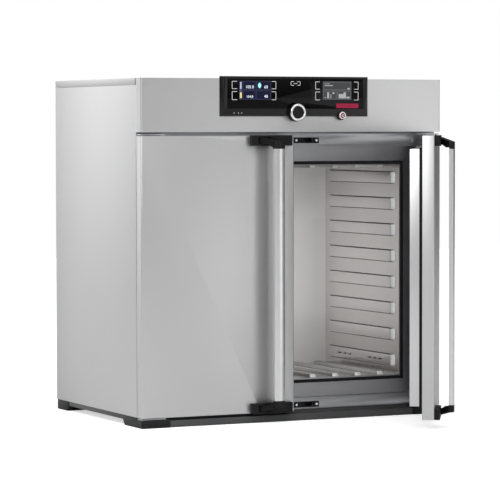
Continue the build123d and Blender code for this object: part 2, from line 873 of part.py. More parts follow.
def make_handle_brackets():
    x0 = door_free + bracket_edge
    y0 = door_front - bracket_depth
    body = block(x0, x0 + bracket_length, y0, door_front, bracket_bottom, bracket_top)
    corners = body.edges().filter_by(Axis.Y)
    body = fillet(corners, bracket_skin / 2)
    half = hub_height / 2 + fit
    window = block(hub_x - arm_width - nose_width, hub_x + hub_radius + bracket_skin, y0 - sheet,
                   door_front + sheet, hub_middle - half, hub_middle + half)
    cavity = block(x0 + bracket_end, hub_x, y0 + bracket_skin, door_front + sheet, hub_middle - half,
                   hub_middle + half)
    stubs = upright_rod(hub_x, hub_y, hub_middle - half - hub_stub, hub_middle + half + hub_stub,
                        pin_radius + running)
    return both_ends(body - window - cavity - stubs)


# The lever: bar, its two arms and their lock noses


def bar_section():
    half = bar_width / 2
    outline = Polyline((half, bar_outer + bar_crown), (half, bar_inner), (-half, bar_inner),
                       (-half, bar_outer + bar_crown))
    crown = ThreePointArc((-half, bar_outer + bar_crown), (0, bar_outer), (half, bar_outer + bar_crown))
    return make_face(Curve() + [outline, crown])


def make_handle_bar():
    length = bar_top - (2 * door_middle - bar_top)
    section = Pos(bar_x, 0, door_middle) * bar_section()
    bar = extrude(section, length / 2, both=True)
    half = bar_width / 2 - bar_wall
    hollow = block(bar_x - half, bar_x + half, bar_outer + bar_crown + bar_wall, bar_inner - bar_wall,
                   door_middle - length, door_middle + length)
    return bar - hollow


def make_handle_arms():
    hub = upright_rod(hub_x, hub_y, hub_middle - hub_height / 2, hub_middle + hub_height / 2, hub_radius)
    half = hub_height / 2 + hub_stub
    stub = upright_rod(hub_x, hub_y, hub_middle - half, hub_middle + half, pin_radius)
    end = extrude(Pos(bar_x, 0, bar_top) * bar_section(), arm_end_height)
    bar_y = (bar_outer + bar_inner) / 2
    run = hypot(bar_x - hub_x, bar_y - hub_y)
    top = hub_middle + hub_height / 2
    low = hub_middle - hub_height / 2
    clear = bracket_depth + hub_stub
    side = Polyline((0, low), (clear, low), (run - bar_thickness, bar_top + hub_stub),
                    (run, bar_top + hub_stub),
                    (run, bar_top + arm_end_height), (hub_radius, top), (0, top), close=True)
    blade = extrude(make_face(Plane.XZ * side), arm_width / 2, both=True)
    turn = degrees(atan2(bar_y - hub_y, bar_x - hub_x))
    blade = Pos(hub_x, hub_y, 0) * Rot(0, 0, turn) * blade
    nose_run = hypot(nose_tip_x - hub_x, nose_reach - hub_y)
    nose = block(0, nose_run, -nose_width / 2, nose_width / 2, hub_middle - nose_height / 2,
                 hub_middle + nose_height / 2)
    nose_turn = degrees(atan2(nose_reach - hub_y, nose_tip_x - hub_x))
    nose = Pos(hub_x, hub_y, 0) * Rot(0, 0, nose_turn) * nose
    return both_ends(hub + stub + end + blade + nose)


def opened(solids):
    hinge = Axis((pin_x, pin_y, 0), (0, 0, 1))
    return [solid.rotate(hinge, right_door_rest) for solid in solids]


def as_list(made):
    return list(made) if isinstance(made, list) else [made]


def door_nodes():
    makers = {
        "door_shell": make_door_shell,
        "door_core": make_door_core,
        "door_plug": make_door_plug,
        "door_gasket": make_door_gasket,
        "door_bushes": make_door_bushes,
        "handle_brackets": make_handle_brackets,
        "handle_bar": make_handle_bar,
        "handle_arms": make_handle_arms,
    }
    made = {}
    for name, maker in makers.items():
        closed = as_list(maker())
        made["right_" + name] = opened(closed)
        made["left_" + name] = [other_side(solid) for solid in closed]
    return made


def cabinet_nodes():
    side_panel = make_side_panel()
    chamber_wall = make_chamber_wall()
    return {
        "base_side_rails": make_base_side_rails(),
        "base_cross_rails": make_base_cross_rails(),
        "front_feet": make_front_feet(),
        "rear_feet": make_rear_feet(),
        "side_panel_right": side_panel,
        "side_panel_left": other_side(side_panel),
        "top_cover": make_top_cover(),
        "rear_panel": make_rear_panel(),
        "bottom_panel": make_bottom_panel(),
        "header_fascia": make_header_fascia(),
        "front_frame_outer": make_front_frame_outer(),
        "front_frame_inner": make_front_frame_inner(),
        "mouth_seal": make_mouth_seal(),
        "strike_plates": make_strike_plates(),
        "strike_screws": make_strike_screws(),
        "hinge_brackets": make_hinge_brackets(),
        "chamber_wall_right": chamber_wall,
        "chamber_wall_left": other_side(chamber_wall),
        "chamber_floor": make_chamber_floor(),
        "chamber_ceiling": make_chamber_ceiling(),
        "air_baffle": make_air_baffle(),
        "chamber_back_wall": make_chamber_back_wall(),
        "heater_plates": make_heater_plates(),
        "insulation_slabs": make_insulation_slabs(),
        "insulation_back": make_insulation_back(),
        "temperature_sensors": make_temperature_sensors(),
        "fan_motor": make_fan_motor(),
        "fan_shaft": make_fan_shaft(),
        "fan_wheel": make_fan_wheel(),
        "exhaust_tube": make_exhaust_tube(),
        "air_flap": make_air_flap(),
        "flap_actuator": make_flap_actuator(),
        "mains_gland": make_mains_gland(),
        "rear_screws": make_rear_screws(),
    }


def control_nodes():
    return {
        "control_housing": make_control_housing(),
        "control_glass": make_control_glass(),
        "display_modules": make_display_modules(),
        "control_board": make_control_board(),
        "encoder": make_encoder(),
        "knob_core": make_knob_core(),
        "knob_ring": make_knob_ring(),
        "knob_button": make_knob_button(),
        "power_button": make_power_button(),
        "power_switch": make_power_switch(),
    }


def write_parts():
    os.makedirs("parts", exist_ok=True)
    nodes = {**cabinet_nodes(), **control_nodes(), **door_nodes()}
    for name, made in nodes.items():
        solids = [solid for shape in as_list(made) for solid in shape.solids()]
        export_step(Compound(solids), os.path.join("parts", name + ".step"))


write_parts()
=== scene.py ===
import json
import math
import bmesh
import bpy
from mathutils import Matrix, Vector

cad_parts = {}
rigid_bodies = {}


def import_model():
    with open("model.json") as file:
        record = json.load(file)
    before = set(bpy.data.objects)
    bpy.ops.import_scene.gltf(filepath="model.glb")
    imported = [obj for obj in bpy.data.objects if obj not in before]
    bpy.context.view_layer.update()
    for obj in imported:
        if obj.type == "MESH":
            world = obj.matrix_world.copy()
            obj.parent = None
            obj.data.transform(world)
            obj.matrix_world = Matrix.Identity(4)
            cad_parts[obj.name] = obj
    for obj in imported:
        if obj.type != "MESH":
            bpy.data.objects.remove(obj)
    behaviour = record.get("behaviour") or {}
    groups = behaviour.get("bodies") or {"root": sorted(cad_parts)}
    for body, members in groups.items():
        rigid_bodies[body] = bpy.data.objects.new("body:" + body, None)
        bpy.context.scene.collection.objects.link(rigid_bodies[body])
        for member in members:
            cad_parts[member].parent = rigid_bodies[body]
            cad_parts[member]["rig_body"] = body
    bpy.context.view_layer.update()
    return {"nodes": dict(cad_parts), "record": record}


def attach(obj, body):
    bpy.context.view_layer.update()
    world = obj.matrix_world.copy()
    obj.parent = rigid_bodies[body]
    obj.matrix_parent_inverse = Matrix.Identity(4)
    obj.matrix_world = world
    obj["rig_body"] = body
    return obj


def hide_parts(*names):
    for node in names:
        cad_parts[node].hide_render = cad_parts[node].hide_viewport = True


# Drying oven with two doors. Metres; X right, Y back, Z up, floor at 0.

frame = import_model()
print("frame loaded:", len(frame["nodes"]), "nodes")

nodeSlot = {row["node"]: row["material_slot"] for row in frame["record"]["subparts"]}
doorPlace = {
    "swing": math.radians(58.4),  # how far the right door stands open
    "pin": Vector((0.602, -0.031, 0.0)),
}


# Shader effects, each built once and placed with its own values

def addNode(tree, kind, settings=None, inputs=None):
    made = tree.nodes.new(kind)
    for key, value in (settings or {}).items():
        setattr(made, key, value)
    for key, value in (inputs or {}).items():
        if isinstance(value, bpy.types.NodeSocket):
            tree.links.new(value, made.inputs[key])
        else:
            made.inputs[key].default_value = value
    return made


def mathNode(tree, operation, a, b=0.0, clamp=False):
    return addNode(
        tree, "ShaderNodeMath", {"operation": operation, "use_clamp": clamp}, {0: a, 1: b}
    ).outputs[0]


def mixColour(tree, factor, a, b):
    return addNode(tree, "ShaderNodeMix", {"data_type": "RGBA"}, {0: factor, 6: a, 7: b}).outputs[2]


def noise(tree, vector, scale, **values):
    inputs = {"Vector": vector, "Scale": scale, **values}
    return addNode(tree, "ShaderNodeTexNoise", None, inputs).outputs[0]


def spread(tree, value, fromLow, fromHigh, toLow, toHigh):
    made = addNode(
        tree, "ShaderNodeMapRange", {"clamp": True},
        {0: value, 1: fromLow, 2: fromHigh, 3: toLow, 4: toHigh}
    )
    return made.outputs[0]


def effectGroup(name, inputs, outputs):
    tree = bpy.data.node_groups.new(name, "ShaderNodeTree")
    for label, kind, value in inputs:
        socket = tree.interface.new_socket(label, in_out="INPUT", socket_type="NodeSocket" + kind)
        if value is not None:
            socket.default_value = value
    for label in outputs:
        tree.interface.new_socket(label, in_out="OUTPUT", socket_type="NodeSocketFloat")
    return tree, tree.nodes.new("NodeGroupInput").outputs, tree.nodes.new("NodeGroupOutput").inputs


def makeBrushing():
    tree, given, out = effectGroup(
        "brushing", [("Vector", "Vector", None), ("Stretch", "Vector", (4, 4, 900))],
        ["Lines", "Patches"]
    )
    drawn = addNode(
        tree, "ShaderNodeVectorMath", {"operation": "MULTIPLY"},
        {0: given["Vector"], 1: given["Stretch"]}
    ).outputs[0]
    fine = noise(tree, drawn, 1.0, Detail=7.0, Roughness=0.72)
    tree.links.new(spread(tree, fine, 0.3, 0.7, 0.0, 1.0), out["Lines"])
    wide = addNode(
        tree, "ShaderNodeVectorMath", {"operation": "SCALE"}, {0: drawn, "Scale": 0.09}
    ).outputs[0]
    broad = noise(tree, wide, 1.0, Detail=3.0)
    tree.links.new(spread(tree, broad, 0.32, 0.68, 0.0, 1.0), out["Patches"])
    return tree


def makeSheetTone():
    tree, given, out = effectGroup(
        "sheetTone", [("Vector", "Vector", None), ("Scale", "Float", 2.0)], ["Tone", "Wave"]
    )
    slow = noise(tree, given["Vector"], given["Scale"], Detail=2.0)
    tree.links.new(spread(tree, slow, 0.3, 0.7, 0.0, 1.0), out["Tone"])
    closer = mathNode(tree, "MULTIPLY", given["Scale"], 1.7)
    tree.links.new(noise(tree, given["Vector"], closer, Detail=0.0, Distortion=0.6), out["Wave"])
    return tree


def makeMouldGrain():
    tree, given, out = effectGroup(
        "mouldGrain", [("Vector", "Vector", None), ("Scale", "Float", 900.0)], ["Height", "Fleck"]
    )
    cells = addNode(
        tree, "ShaderNodeTexVoronoi", {"feature": "SMOOTH_F1"},
        {"Vector": given["Vector"], "Scale": given["Scale"], "Smoothness": 0.6}
    )
    fine = noise(tree, given["Vector"], given["Scale"], Detail=4.0)
    tree.links.new(mathNode(tree, "MULTIPLY", cells.outputs[0], fine), out["Height"])
    tree.links.new(spread(tree, fine, 0.5, 0.75, 0.0, 1.0), out["Fleck"])
    return tree


def makeHandMarks():
    tree, given, out = effectGroup(
        "handMarks", [("Vector", "Vector", None), ("Scale", "Float", 9.0)], ["Marks"]
    )
    streaks = noise(tree, given["Vector"], given["Scale"], Detail=5.0, Distortion=1.4)
    smear = spread(tree, streaks, 0.52, 0.72, 0.0, 1.0)
    wipe = spread(tree, noise(tree, given["Vector"], 1.3, Detail=1.0), 0.42, 0.62, 0.0, 1.0)
    tree.links.new(mathNode(tree, "MULTIPLY", smear, wipe), out["Marks"])
    return tree


def makeDust():
    tree, given, out = effectGroup(
        "settledDust", [("Vector", "Vector", None), ("Normal", "Vector", None)], ["Dust"]
    )
    up = addNode(tree, "ShaderNodeSeparateXYZ", None, {0: given["Normal"]})
    flat = spread(tree, up.outputs[2], 0.6, 0.95, 0.0, 1.0)
    speck = spread(
        tree, noise(tree, given["Vector"], 60.0, Detail=8.0, Roughness=0.8), 0.45, 0.7, 0.0, 1.0
    )
    tree.links.new(mathNode(tree, "MULTIPLY", flat, speck), out["Dust"])
    return tree


effects = {
    "brushing": makeBrushing(),
    "sheetTone": makeSheetTone(),
    "mouldGrain": makeMouldGrain(),
    "handMarks": makeHandMarks(),
    "settledDust": makeDust(),
}


def place(tree, effect, inputs):
    return addNode(tree, "ShaderNodeGroup", {"node_tree": effects[effect]}, inputs).outputs


# Finishes: colour pair, roughness range, brushing direction, grain and shine of each material

brushedCommon = {
    "metallic": 1.0, "lineBump": 0.02, "patch": 0.15, "tone": 2.0, "wave": 0.004, "marks": 0.03,
    "dust": 0.03
}
mouldedCommon = {"metallic": 0.0, "wave": 0.0, "marks": 0.05, "dust": 0.03}

finishValues = {
    "casingSteel": {
        **brushedCommon, "light": (0.615, 0.615, 0.62), "dark": (0.595, 0.595, 0.6),
        "rough": (0.4, 0.47), "stretch": (700, 700, 12), "lineBump": 0.012, "patch": 0.1,
        "tone": 0.9, "dust": 0.06,
    },
    # smoother steel on the rounded edges; its lighter colour is a painted highlight
    "casingEdgeHighlight": {
        **brushedCommon, "light": (0.7, 0.7, 0.705), "dark": (0.64, 0.64, 0.65),
        "rough": (0.26, 0.34), "stretch": (300, 300, 300), "patch": 0.1, "tone": 6.0, "wave": 0.0,
        "marks": 0.04, "dust": 0.05,
    },
    "frameSteel": {
        **brushedCommon, "light": (0.5, 0.505, 0.52), "dark": (0.47, 0.475, 0.49),
        "rough": (0.27, 0.34), "stretch": (8, 8, 900), "patch": 0.12, "wave": 0.01, "marks": 0.04,
        "dust": 0.05,
    },
    "chamberSteel": {
        **brushedCommon, "light": (0.72, 0.7, 0.695), "dark": (0.69, 0.67, 0.665),
        "rough": (0.2, 0.25), "stretch": (1600, 1600, 14),
    },
    # painted shade: a darker copy of the chamber steel for the floor and ceiling sheets and their beads
    "floorCeilingShadedSteel": {
        **brushedCommon, "light": (0.47, 0.46, 0.455), "dark": (0.44, 0.43, 0.425),
        "rough": (0.2, 0.25), "stretch": (20, 20, 1400), "dust": 0.02,
    },
    "beadSteel": {
        **brushedCommon, "light": (0.76, 0.74, 0.735), "dark": (0.72, 0.7, 0.695),
        "rough": (0.2, 0.25), "stretch": (20, 20, 1400),
    },
    # painted shade: a dark copy of the bead steel for the steep long sides of the wall beads
    "creaseShadeSteel": {
        **brushedCommon, "light": (0.16, 0.155, 0.15), "dark": (0.11, 0.105, 0.1),
        "rough": (0.4, 0.5), "gloss": 0.3, "stretch": (20, 20, 1400), "metallic": 0.8, "dust": 0.0,
    },
    # painted highlight: a near-white copy of the bead steel for the rounded front ends of the beads; the
    # strike screws use it too
    "capHighlightAndScrewSteel": {
        **brushedCommon, "light": (0.98, 0.98, 0.98), "dark": (0.95, 0.95, 0.95),
        "rough": (0.2, 0.28), "gloss": 0.7, "stretch": (20, 20, 1400), "metallic": 0.15, "dust": 0.0,
    },
    # painted light: a paler, less metallic copy of the chamber steel so the back wall reads brighter
    "baffleSteel": {
        **brushedCommon, "light": (0.93, 0.92, 0.91), "dark": (0.9, 0.89, 0.88),
        "rough": (0.3, 0.38), "gloss": 0.5, "stretch": (1600, 1600, 14), "metallic": 0.2,
        "dust": 0.0,
    },
    "plugSteel": {
        **brushedCommon, "light": (0.68, 0.675, 0.675), "dark": (0.65, 0.645, 0.645),
        "rough": (0.34, 0.42), "stretch": (900, 900, 12), "patch": 0.12, "tone": 1.5, "wave": 0.006,
        "marks": 0.04, "dust": 0.04,
    },
    "backSheet": {
        **brushedCommon, "light": (0.52, 0.53, 0.54), "dark": (0.44, 0.45, 0.47),
        "rough": (0.4, 0.52), "stretch": (60, 60, 45), "patch": 0.25, "tone": 14.0, "wave": 0.02,
        "marks": 0.06, "dust": 0.1,
    },
    "barAluminium": {
        **brushedCommon, "light": (0.84, 0.84, 0.845), "dark": (0.8, 0.8, 0.81),
        "rough": (0.28, 0.35), "stretch": (1400, 1400, 7), "patch": 0.12, "tone": 3.0, "wave": 0.0,
        "marks": 0.04, "dust": 0.02,
    },
    "screwSteel": {
        **brushedCommon, "light": (0.86, 0.86, 0.86), "dark": (0.7, 0.7, 0.7), "rough": (0.2, 0.34),
        "stretch": (900, 900, 900), "lineBump": 0.04, "patch": 0.2, "tone": 40.0, "wave": 0.0,
        "marks": 0.08,
    },
    "ringMetal": {
        **brushedCommon, "light": (0.92, 0.92, 0.92), "dark": (0.86, 0.86, 0.865),
        "rough": (0.22, 0.3), "stretch": (60, 2500, 60), "patch": 0.1, "tone": 10.0, "wave": 0.0,
        "marks": 0.04, "dust": 0.0,
    },
    "heaterFoil": {
        **brushedCommon, "light": (0.66, 0.66, 0.66), "dark": (0.52, 0.52, 0.52),
        "rough": (0.3, 0.48), "stretch": (80, 30, 80), "lineBump": 0.2, "patch": 0.35, "tone": 6.0,
        "wave": 0.15, "marks": 0.08, "dust": 0.05,
    },
    "railPaint": {
        **mouldedCommon, "light": (0.075, 0.0755, 0.078), "dark": (0.058, 0.0585, 0.06),
        "rough": (0.42, 0.55), "gloss": 0.35, "grain": 420.0, "grainBump": 0.2, "tone": 5.0,
        "dust": 0.08,
    },
    "blackMoulding": {
        **mouldedCommon, "light": (0.011, 0.011, 0.0115), "dark": (0.006, 0.006, 0.0065),
        "rough": (0.4, 0.52), "gloss": 0.2, "grain": 1300.0, "grainBump": 0.2, "tone": 14.0,
        "marks": 0.08,
    },
    "footMoulding": {
        **mouldedCommon, "light": (0.014, 0.014, 0.015), "dark": (0.008, 0.008, 0.009),
        "rough": (0.5, 0.62), "gloss": 0.25, "grain": 700.0, "grainBump": 0.25, "tone": 10.0,
        "marks": 0.08, "dust": 0.08,
    },
    "housingBlack": {
        **mouldedCommon, "light": (0.009, 0.009, 0.0095), "dark": (0.006, 0.006, 0.006),
        "rough": (0.26, 0.34), "gloss": 0.3, "grain": 1600.0, "grainBump": 0.08, "tone": 8.0,
        "marks": 0.06, "dust": 0.04,
    },
    "sealRubber": {
        **mouldedCommon, "light": (0.016, 0.015, 0.016), "dark": (0.009, 0.009, 0.0095),
        "rough": (0.55, 0.7), "gloss": 0.15, "grain": 600.0, "grainBump": 0.15, "tone": 12.0,
        "dust": 0.04,
    },
    "controlGlass": {
        **mouldedCommon, "light": (0.003, 0.003, 0.0033), "dark": (0.002, 0.002, 0.002),
        "rough": (0.04, 0.07), "gloss": 0.1, "grain": 30.0, "grainBump": 0.0, "tone": 3.0,
        "marks": 0.08, "dust": 0.0,
    },
    "partGrey": {
        **mouldedCommon, "light": (0.26, 0.26, 0.27), "dark": (0.21, 0.21, 0.22),
        "rough": (0.4, 0.55), "grain": 500.0, "grainBump": 0.2, "tone": 9.0, "marks": 0.06,
        "dust": 0.1,
    },
    "mineralWool": {
        **mouldedCommon, "light": (0.13, 0.125, 0.11), "dark": (0.08, 0.076, 0.066),
        "rough": (0.9, 1.0), "sheen": 0.3, "grain": 260.0, "grainBump": 0.9, "tone": 18.0,
        "wave": 0.3, "marks": 0.0, "dust": 0.0,
    },
    "boardGreen": {
        **mouldedCommon, "light": (0.02, 0.14, 0.06), "dark": (0.012, 0.08, 0.035),
        "rough": (0.25, 0.4), "grain": 220.0, "grainBump": 0.15, "tone": 60.0, "dust": 0.05,
    },
    "buttonRed": {
        **mouldedCommon, "light": (0.34, 0.035, 0.06), "dark": (0.22, 0.02, 0.035),
        "rough": (0.2, 0.32), "gloss": 0.4, "grain": 900.0, "grainBump": 0.05, "tone": 20.0,
        "dust": 0.0,
    },
}


def makeFinish(name, v):
    material = bpy.data.materials.new(name)
    material.use_nodes = True
    tree = material.node_tree
    shader = tree.nodes["Principled BSDF"]
    where = addNode(tree, "ShaderNodeTexCoord").outputs
    tone = place(tree, "sheetTone", {"Vector": where["Object"], "Scale": v["tone"]})
    marks = place(tree, "handMarks", {"Vector": where["Object"], "Scale": 9.0})
    dust = place(tree, "settledDust", {"Vector": where["Object"], "Normal": where["Normal"]})
    colour = mixColour(tree, tone["Tone"], (*v["dark"], 1.0), (*v["light"], 1.0))
    bump = addNode(tree, "ShaderNodeBump", None, {"Distance": 0.001, "Strength": 0.3})
    if "stretch" in v:
        lines = place(tree, "brushing", {"Vector": where["Object"], "Stretch": v["stretch"]})
        colour = mixColour(
            tree, mathNode(tree, "MULTIPLY", lines["Patches"], v["patch"]), colour, (*v["dark"], 1.0)
        )
        rough = spread(tree, lines["Lines"], 0.0, 1.0, *v["rough"])
        height = mathNode(tree, "MULTIPLY", lines["Lines"], v["lineBump"])
    else:
        grain = place(tree, "mouldGrain", {"Vector": where["Object"], "Scale": v["grain"]})
        colour = mixColour(
            tree, mathNode(tree, "MULTIPLY", grain["Fleck"], 0.4), colour, (*v["dark"], 1.0)
        )
        rough = spread(tree, grain["Fleck"], 0.0, 1.0, *v["rough"])
        height = mathNode(tree, "MULTIPLY", grain["Height"], v["grainBump"])
    rough = mathNode(
        tree, "ADD", rough, mathNode(tree, "MULTIPLY", marks["Marks"], v["marks"]), clamp=True
    )
    settled = mathNode(tree, "MULTIPLY", dust["Dust"], v["dust"])
    colour = mixColour(tree, settled, colour, (0.45, 0.44, 0.42, 1.0))
    height = mathNode(tree, "ADD", height, mathNode(tree, "MULTIPLY", tone["Wave"], v["wave"]))
    tree.links.new(height, bump.inputs["Height"])
    tree.links.new(colour, shader.inputs["Base Color"])
    tree.links.new(
        mathNode(tree, "ADD", rough, mathNode(tree, "MULTIPLY", settled, 0.5), clamp=True),
        shader.inputs["Roughness"]
    )
    tree.links.new(bump.outputs[0], shader.inputs["Normal"])
    shader.inputs["Metallic"].default_value = v["metallic"]
    if "gloss" in v:
        shader.inputs["Specular IOR Level"].default_value = v["gloss"]
    if "sheen" in v:
        shader.inputs["Sheen Weight"].default_value = v["sheen"]
    return material


finishes = {name: makeFinish(name, v) for name, v in finishValues.items()}

lampValues = {  # printed and lit colours of the control unit; the faint glow on the printed marks is painted light
    "printWhite": {"colour": (0.85, 0.85, 0.86), "glow": 0.12},
    "printCrimson": {"colour": (0.33, 0.012, 0.055), "glow": 0.12},
    "screenNavy": {"colour": (0.003, 0.004, 0.011), "glow": 1.0},
    "screenTile": {"colour": (0.005, 0.006, 0.018), "glow": 1.0},
    "screenBorder": {"colour": (0.05, 0.045, 0.10), "glow": 1.0},
    "screenWhite": {"colour": (0.62, 0.66, 0.74), "glow": 1.0},
    "screenCyan": {"colour": (0.3, 0.62, 0.68), "glow": 1.0},
    "screenAmber": {"colour": (0.5, 0.46, 0.16), "glow": 1.0},
    "screenGrey": {"colour": (0.034, 0.035, 0.038), "glow": 0.9},
    "screenPale": {"colour": (0.13, 0.133, 0.14), "glow": 0.9},
    "screenLight": {"colour": (0.26, 0.265, 0.27), "glow": 0.9},
}


def makeLamp(name, v):
    material = bpy.data.materials.new(name)
    material.use_nodes = True
    tree = material.node_tree
    shader = tree.nodes["Principled BSDF"]
    where = addNode(tree, "ShaderNodeTexCoord").outputs
    dots = addNode(
        tree, "ShaderNodeTexVoronoi", {"feature": "F1"},
        {"Vector": where["Object"], "Scale": 1400.0, "Randomness": 0.0}
    )
    shade = spread(tree, dots.outputs[0], 0.2, 0.8, 1.0, 0.82)
    colour = addNode(
        tree, "ShaderNodeVectorMath", {"operation": "SCALE"}, {0: v["colour"], "Scale": shade}
    ).outputs[0]
    tree.links.new(colour, shader.inputs["Base Color"])
    if v["glow"]:
        tree.links.new(colour, shader.inputs["Emission Color"])
    shader.inputs["Emission Strength"].default_value = v["glow"]
    shader.inputs["Roughness"].default_value = 0.15
    shader.inputs["Specular IOR Level"].default_value = 0.15
    return material


finishes.update({name: makeLamp(name, v) for name, v in lampValues.items()})
print("finishes made:", len(finishes))


# Shared mesh work

def camel(words):
    first, *rest = words.split("_")
    return first + "".join(word.capitalize() for word in rest)


def smoothed(mesh, degreesSharp=34):
    mesh.polygons.foreach_set("use_smooth", [True] * len(mesh.polygons))
    mesh.set_sharp_from_angle(angle=math.radians(degreesSharp))
    mesh.update()
    return mesh


def seat(name, mesh, body, finish, slot=None, stands=()):
    mesh.name = name
    if finish:
        mesh.materials.clear()
        mesh.materials.append(finishes[finish])
    piece = bpy.data.objects.new(name, mesh)
    bpy.context.scene.collection.objects.link(piece)
    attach(piece, body)
    if stands:
        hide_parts(*stands)
        slot = slot or nodeSlot[stands[0]]
    return piece


def asMesh(work, name="work"):
    mesh = bpy.data.meshes.new(name)
    bmesh.ops.recalc_face_normals(work, faces=work.faces)
    work.to_mesh(mesh)
    work.free()
    return mesh


def applied(piece):
    graph = bpy.context.evaluated_depsgraph_get()
    mesh = bpy.data.meshes.new_from_object(piece.evaluated_get(graph))
    bpy.data.objects.remove(piece)
    return mesh


def bevelled(mesh, width, segments=2, sharpAbove=30, edgeSlot=-1):
    piece = bpy.data.objects.new("work", mesh)
    bpy.context.scene.collection.objects.link(piece)
    bevel = piece.modifiers.new("edges", "BEVEL")
    bevel.width = width
    bevel.segments = segments
    bevel.limit_method = "ANGLE"
    bevel.angle_limit = math.radians(sharpAbove)
    bevel.material = edgeSlot
    return applied(piece)


def addBox(work, low, high):
    made = bmesh.ops.create_cube(work, size=1.0)["verts"]
    size = [b - a for a, b in zip(low, high)]
    middle = [(a + b) / 2 for a, b in zip(low, high)]
    bmesh.ops.scale(work, vec=size, verts=made)
    bmesh.ops.translate(work, vec=middle, verts=made)
    return made


def addRings(work, rings, closeEnds=True, closeRound=False):
    rows = [[work.verts.new(p) for p in ring] for ring in rings]
    pairs = list(zip(rows, rows[1:]))
    if closeRound:
        pairs.append((rows[-1], rows[0]))
    for a, b in pairs:
        for i in range(len(a)):
            j = (i + 1) % len(a)
            work.faces.new((a[i], a[j], b[j], b[i]))
    if closeEnds and not closeRound:
        work.faces.new(rows[0])
        work.faces.new(rows[-1])


def aroundY(x, y, z, radius, angle):
    return x + radius * math.cos(angle), y, z + radius * math.sin(angle)


def circle(x, y, z, radius, steps):
    return [aroundY(x, y, z, radius, 2 * math.pi * i / steps) for i in range(steps)]


def turned(profile, x, z, steps=64, loop=False):
    work = bmesh.new()  # profile is (radius, y) pairs, turned about a line along Y
    rings = [circle(x, y, z, max(radius, 1e-5), steps) for radius, y in profile]
    addRings(work, rings, closeRound=loop)
    bmesh.ops.remove_doubles(work, verts=work.verts, dist=3e-5)
    return asMesh(work)


def roundedRect(halfX, halfZ, radius, steps=6):
    radius = min(radius, halfX - 1e-5, halfZ - 1e-5)
    points = []
    for cx, cz, start in ((1, 1, 0), (-1, 1, 90), (-1, -1, 180), (1, -1, 270)):
        for i in range(steps + 1):
            a = math.radians(start + 90 * i / steps)
            points.append(
                (
                    (halfX - radius) * cx + radius * math.cos(a),
                    (halfZ - radius) * cz + radius * math.sin(a)
                )
            )
    return points


def sweptFrame(low, high, profile, corner=0.0012, freeLimit=1.0):
    work = bmesh.new()  # profile is (outward, y) pairs, carried round the rectangle low..high in X and Z
    rings = []
    for out, y in profile:
        left, right = low[0] - min(out, freeLimit), high[0] + out
        middle = (left + right) / 2, (low[1] + high[1]) / 2
        ring = roundedRect((right - left) / 2, (high[1] - low[1]) / 2 + out, corner, steps=3)
        rings.append([(middle[0] + px, y, middle[1] + pz) for px, pz in ring])
    addRings(work, rings, closeRound=True)
    return asMesh(work)


def onDoor(mesh, side):
    if side == "right":
        pin = doorPlace["pin"]
        mesh.transform(
            Matrix.Translation(pin) @ Matrix.Rotation(
                doorPlace["swing"], 4, "Z"
            ) @ Matrix.Translation(-pin)
        )
    else:
        mesh.transform(Matrix.Scale(-1, 4, (1, 0, 0)))
        mesh.flip_normals()
    return mesh


def mergedCopy(node):
    work = bmesh.new()
    work.from_mesh(frame["nodes"][node].data)
    bmesh.ops.remove_doubles(work, verts=work.verts, dist=1e-6)
    bmesh.ops.dissolve_limit(work, angle_limit=math.radians(0.5), verts=work.verts, edges=work.edges)
    mesh = bpy.data.meshes.new(node)
    work.to_mesh(mesh)
    work.free()
    return mesh


# Sheets, rails and mouldings whose CAD shape is right get rounded edges and their finish

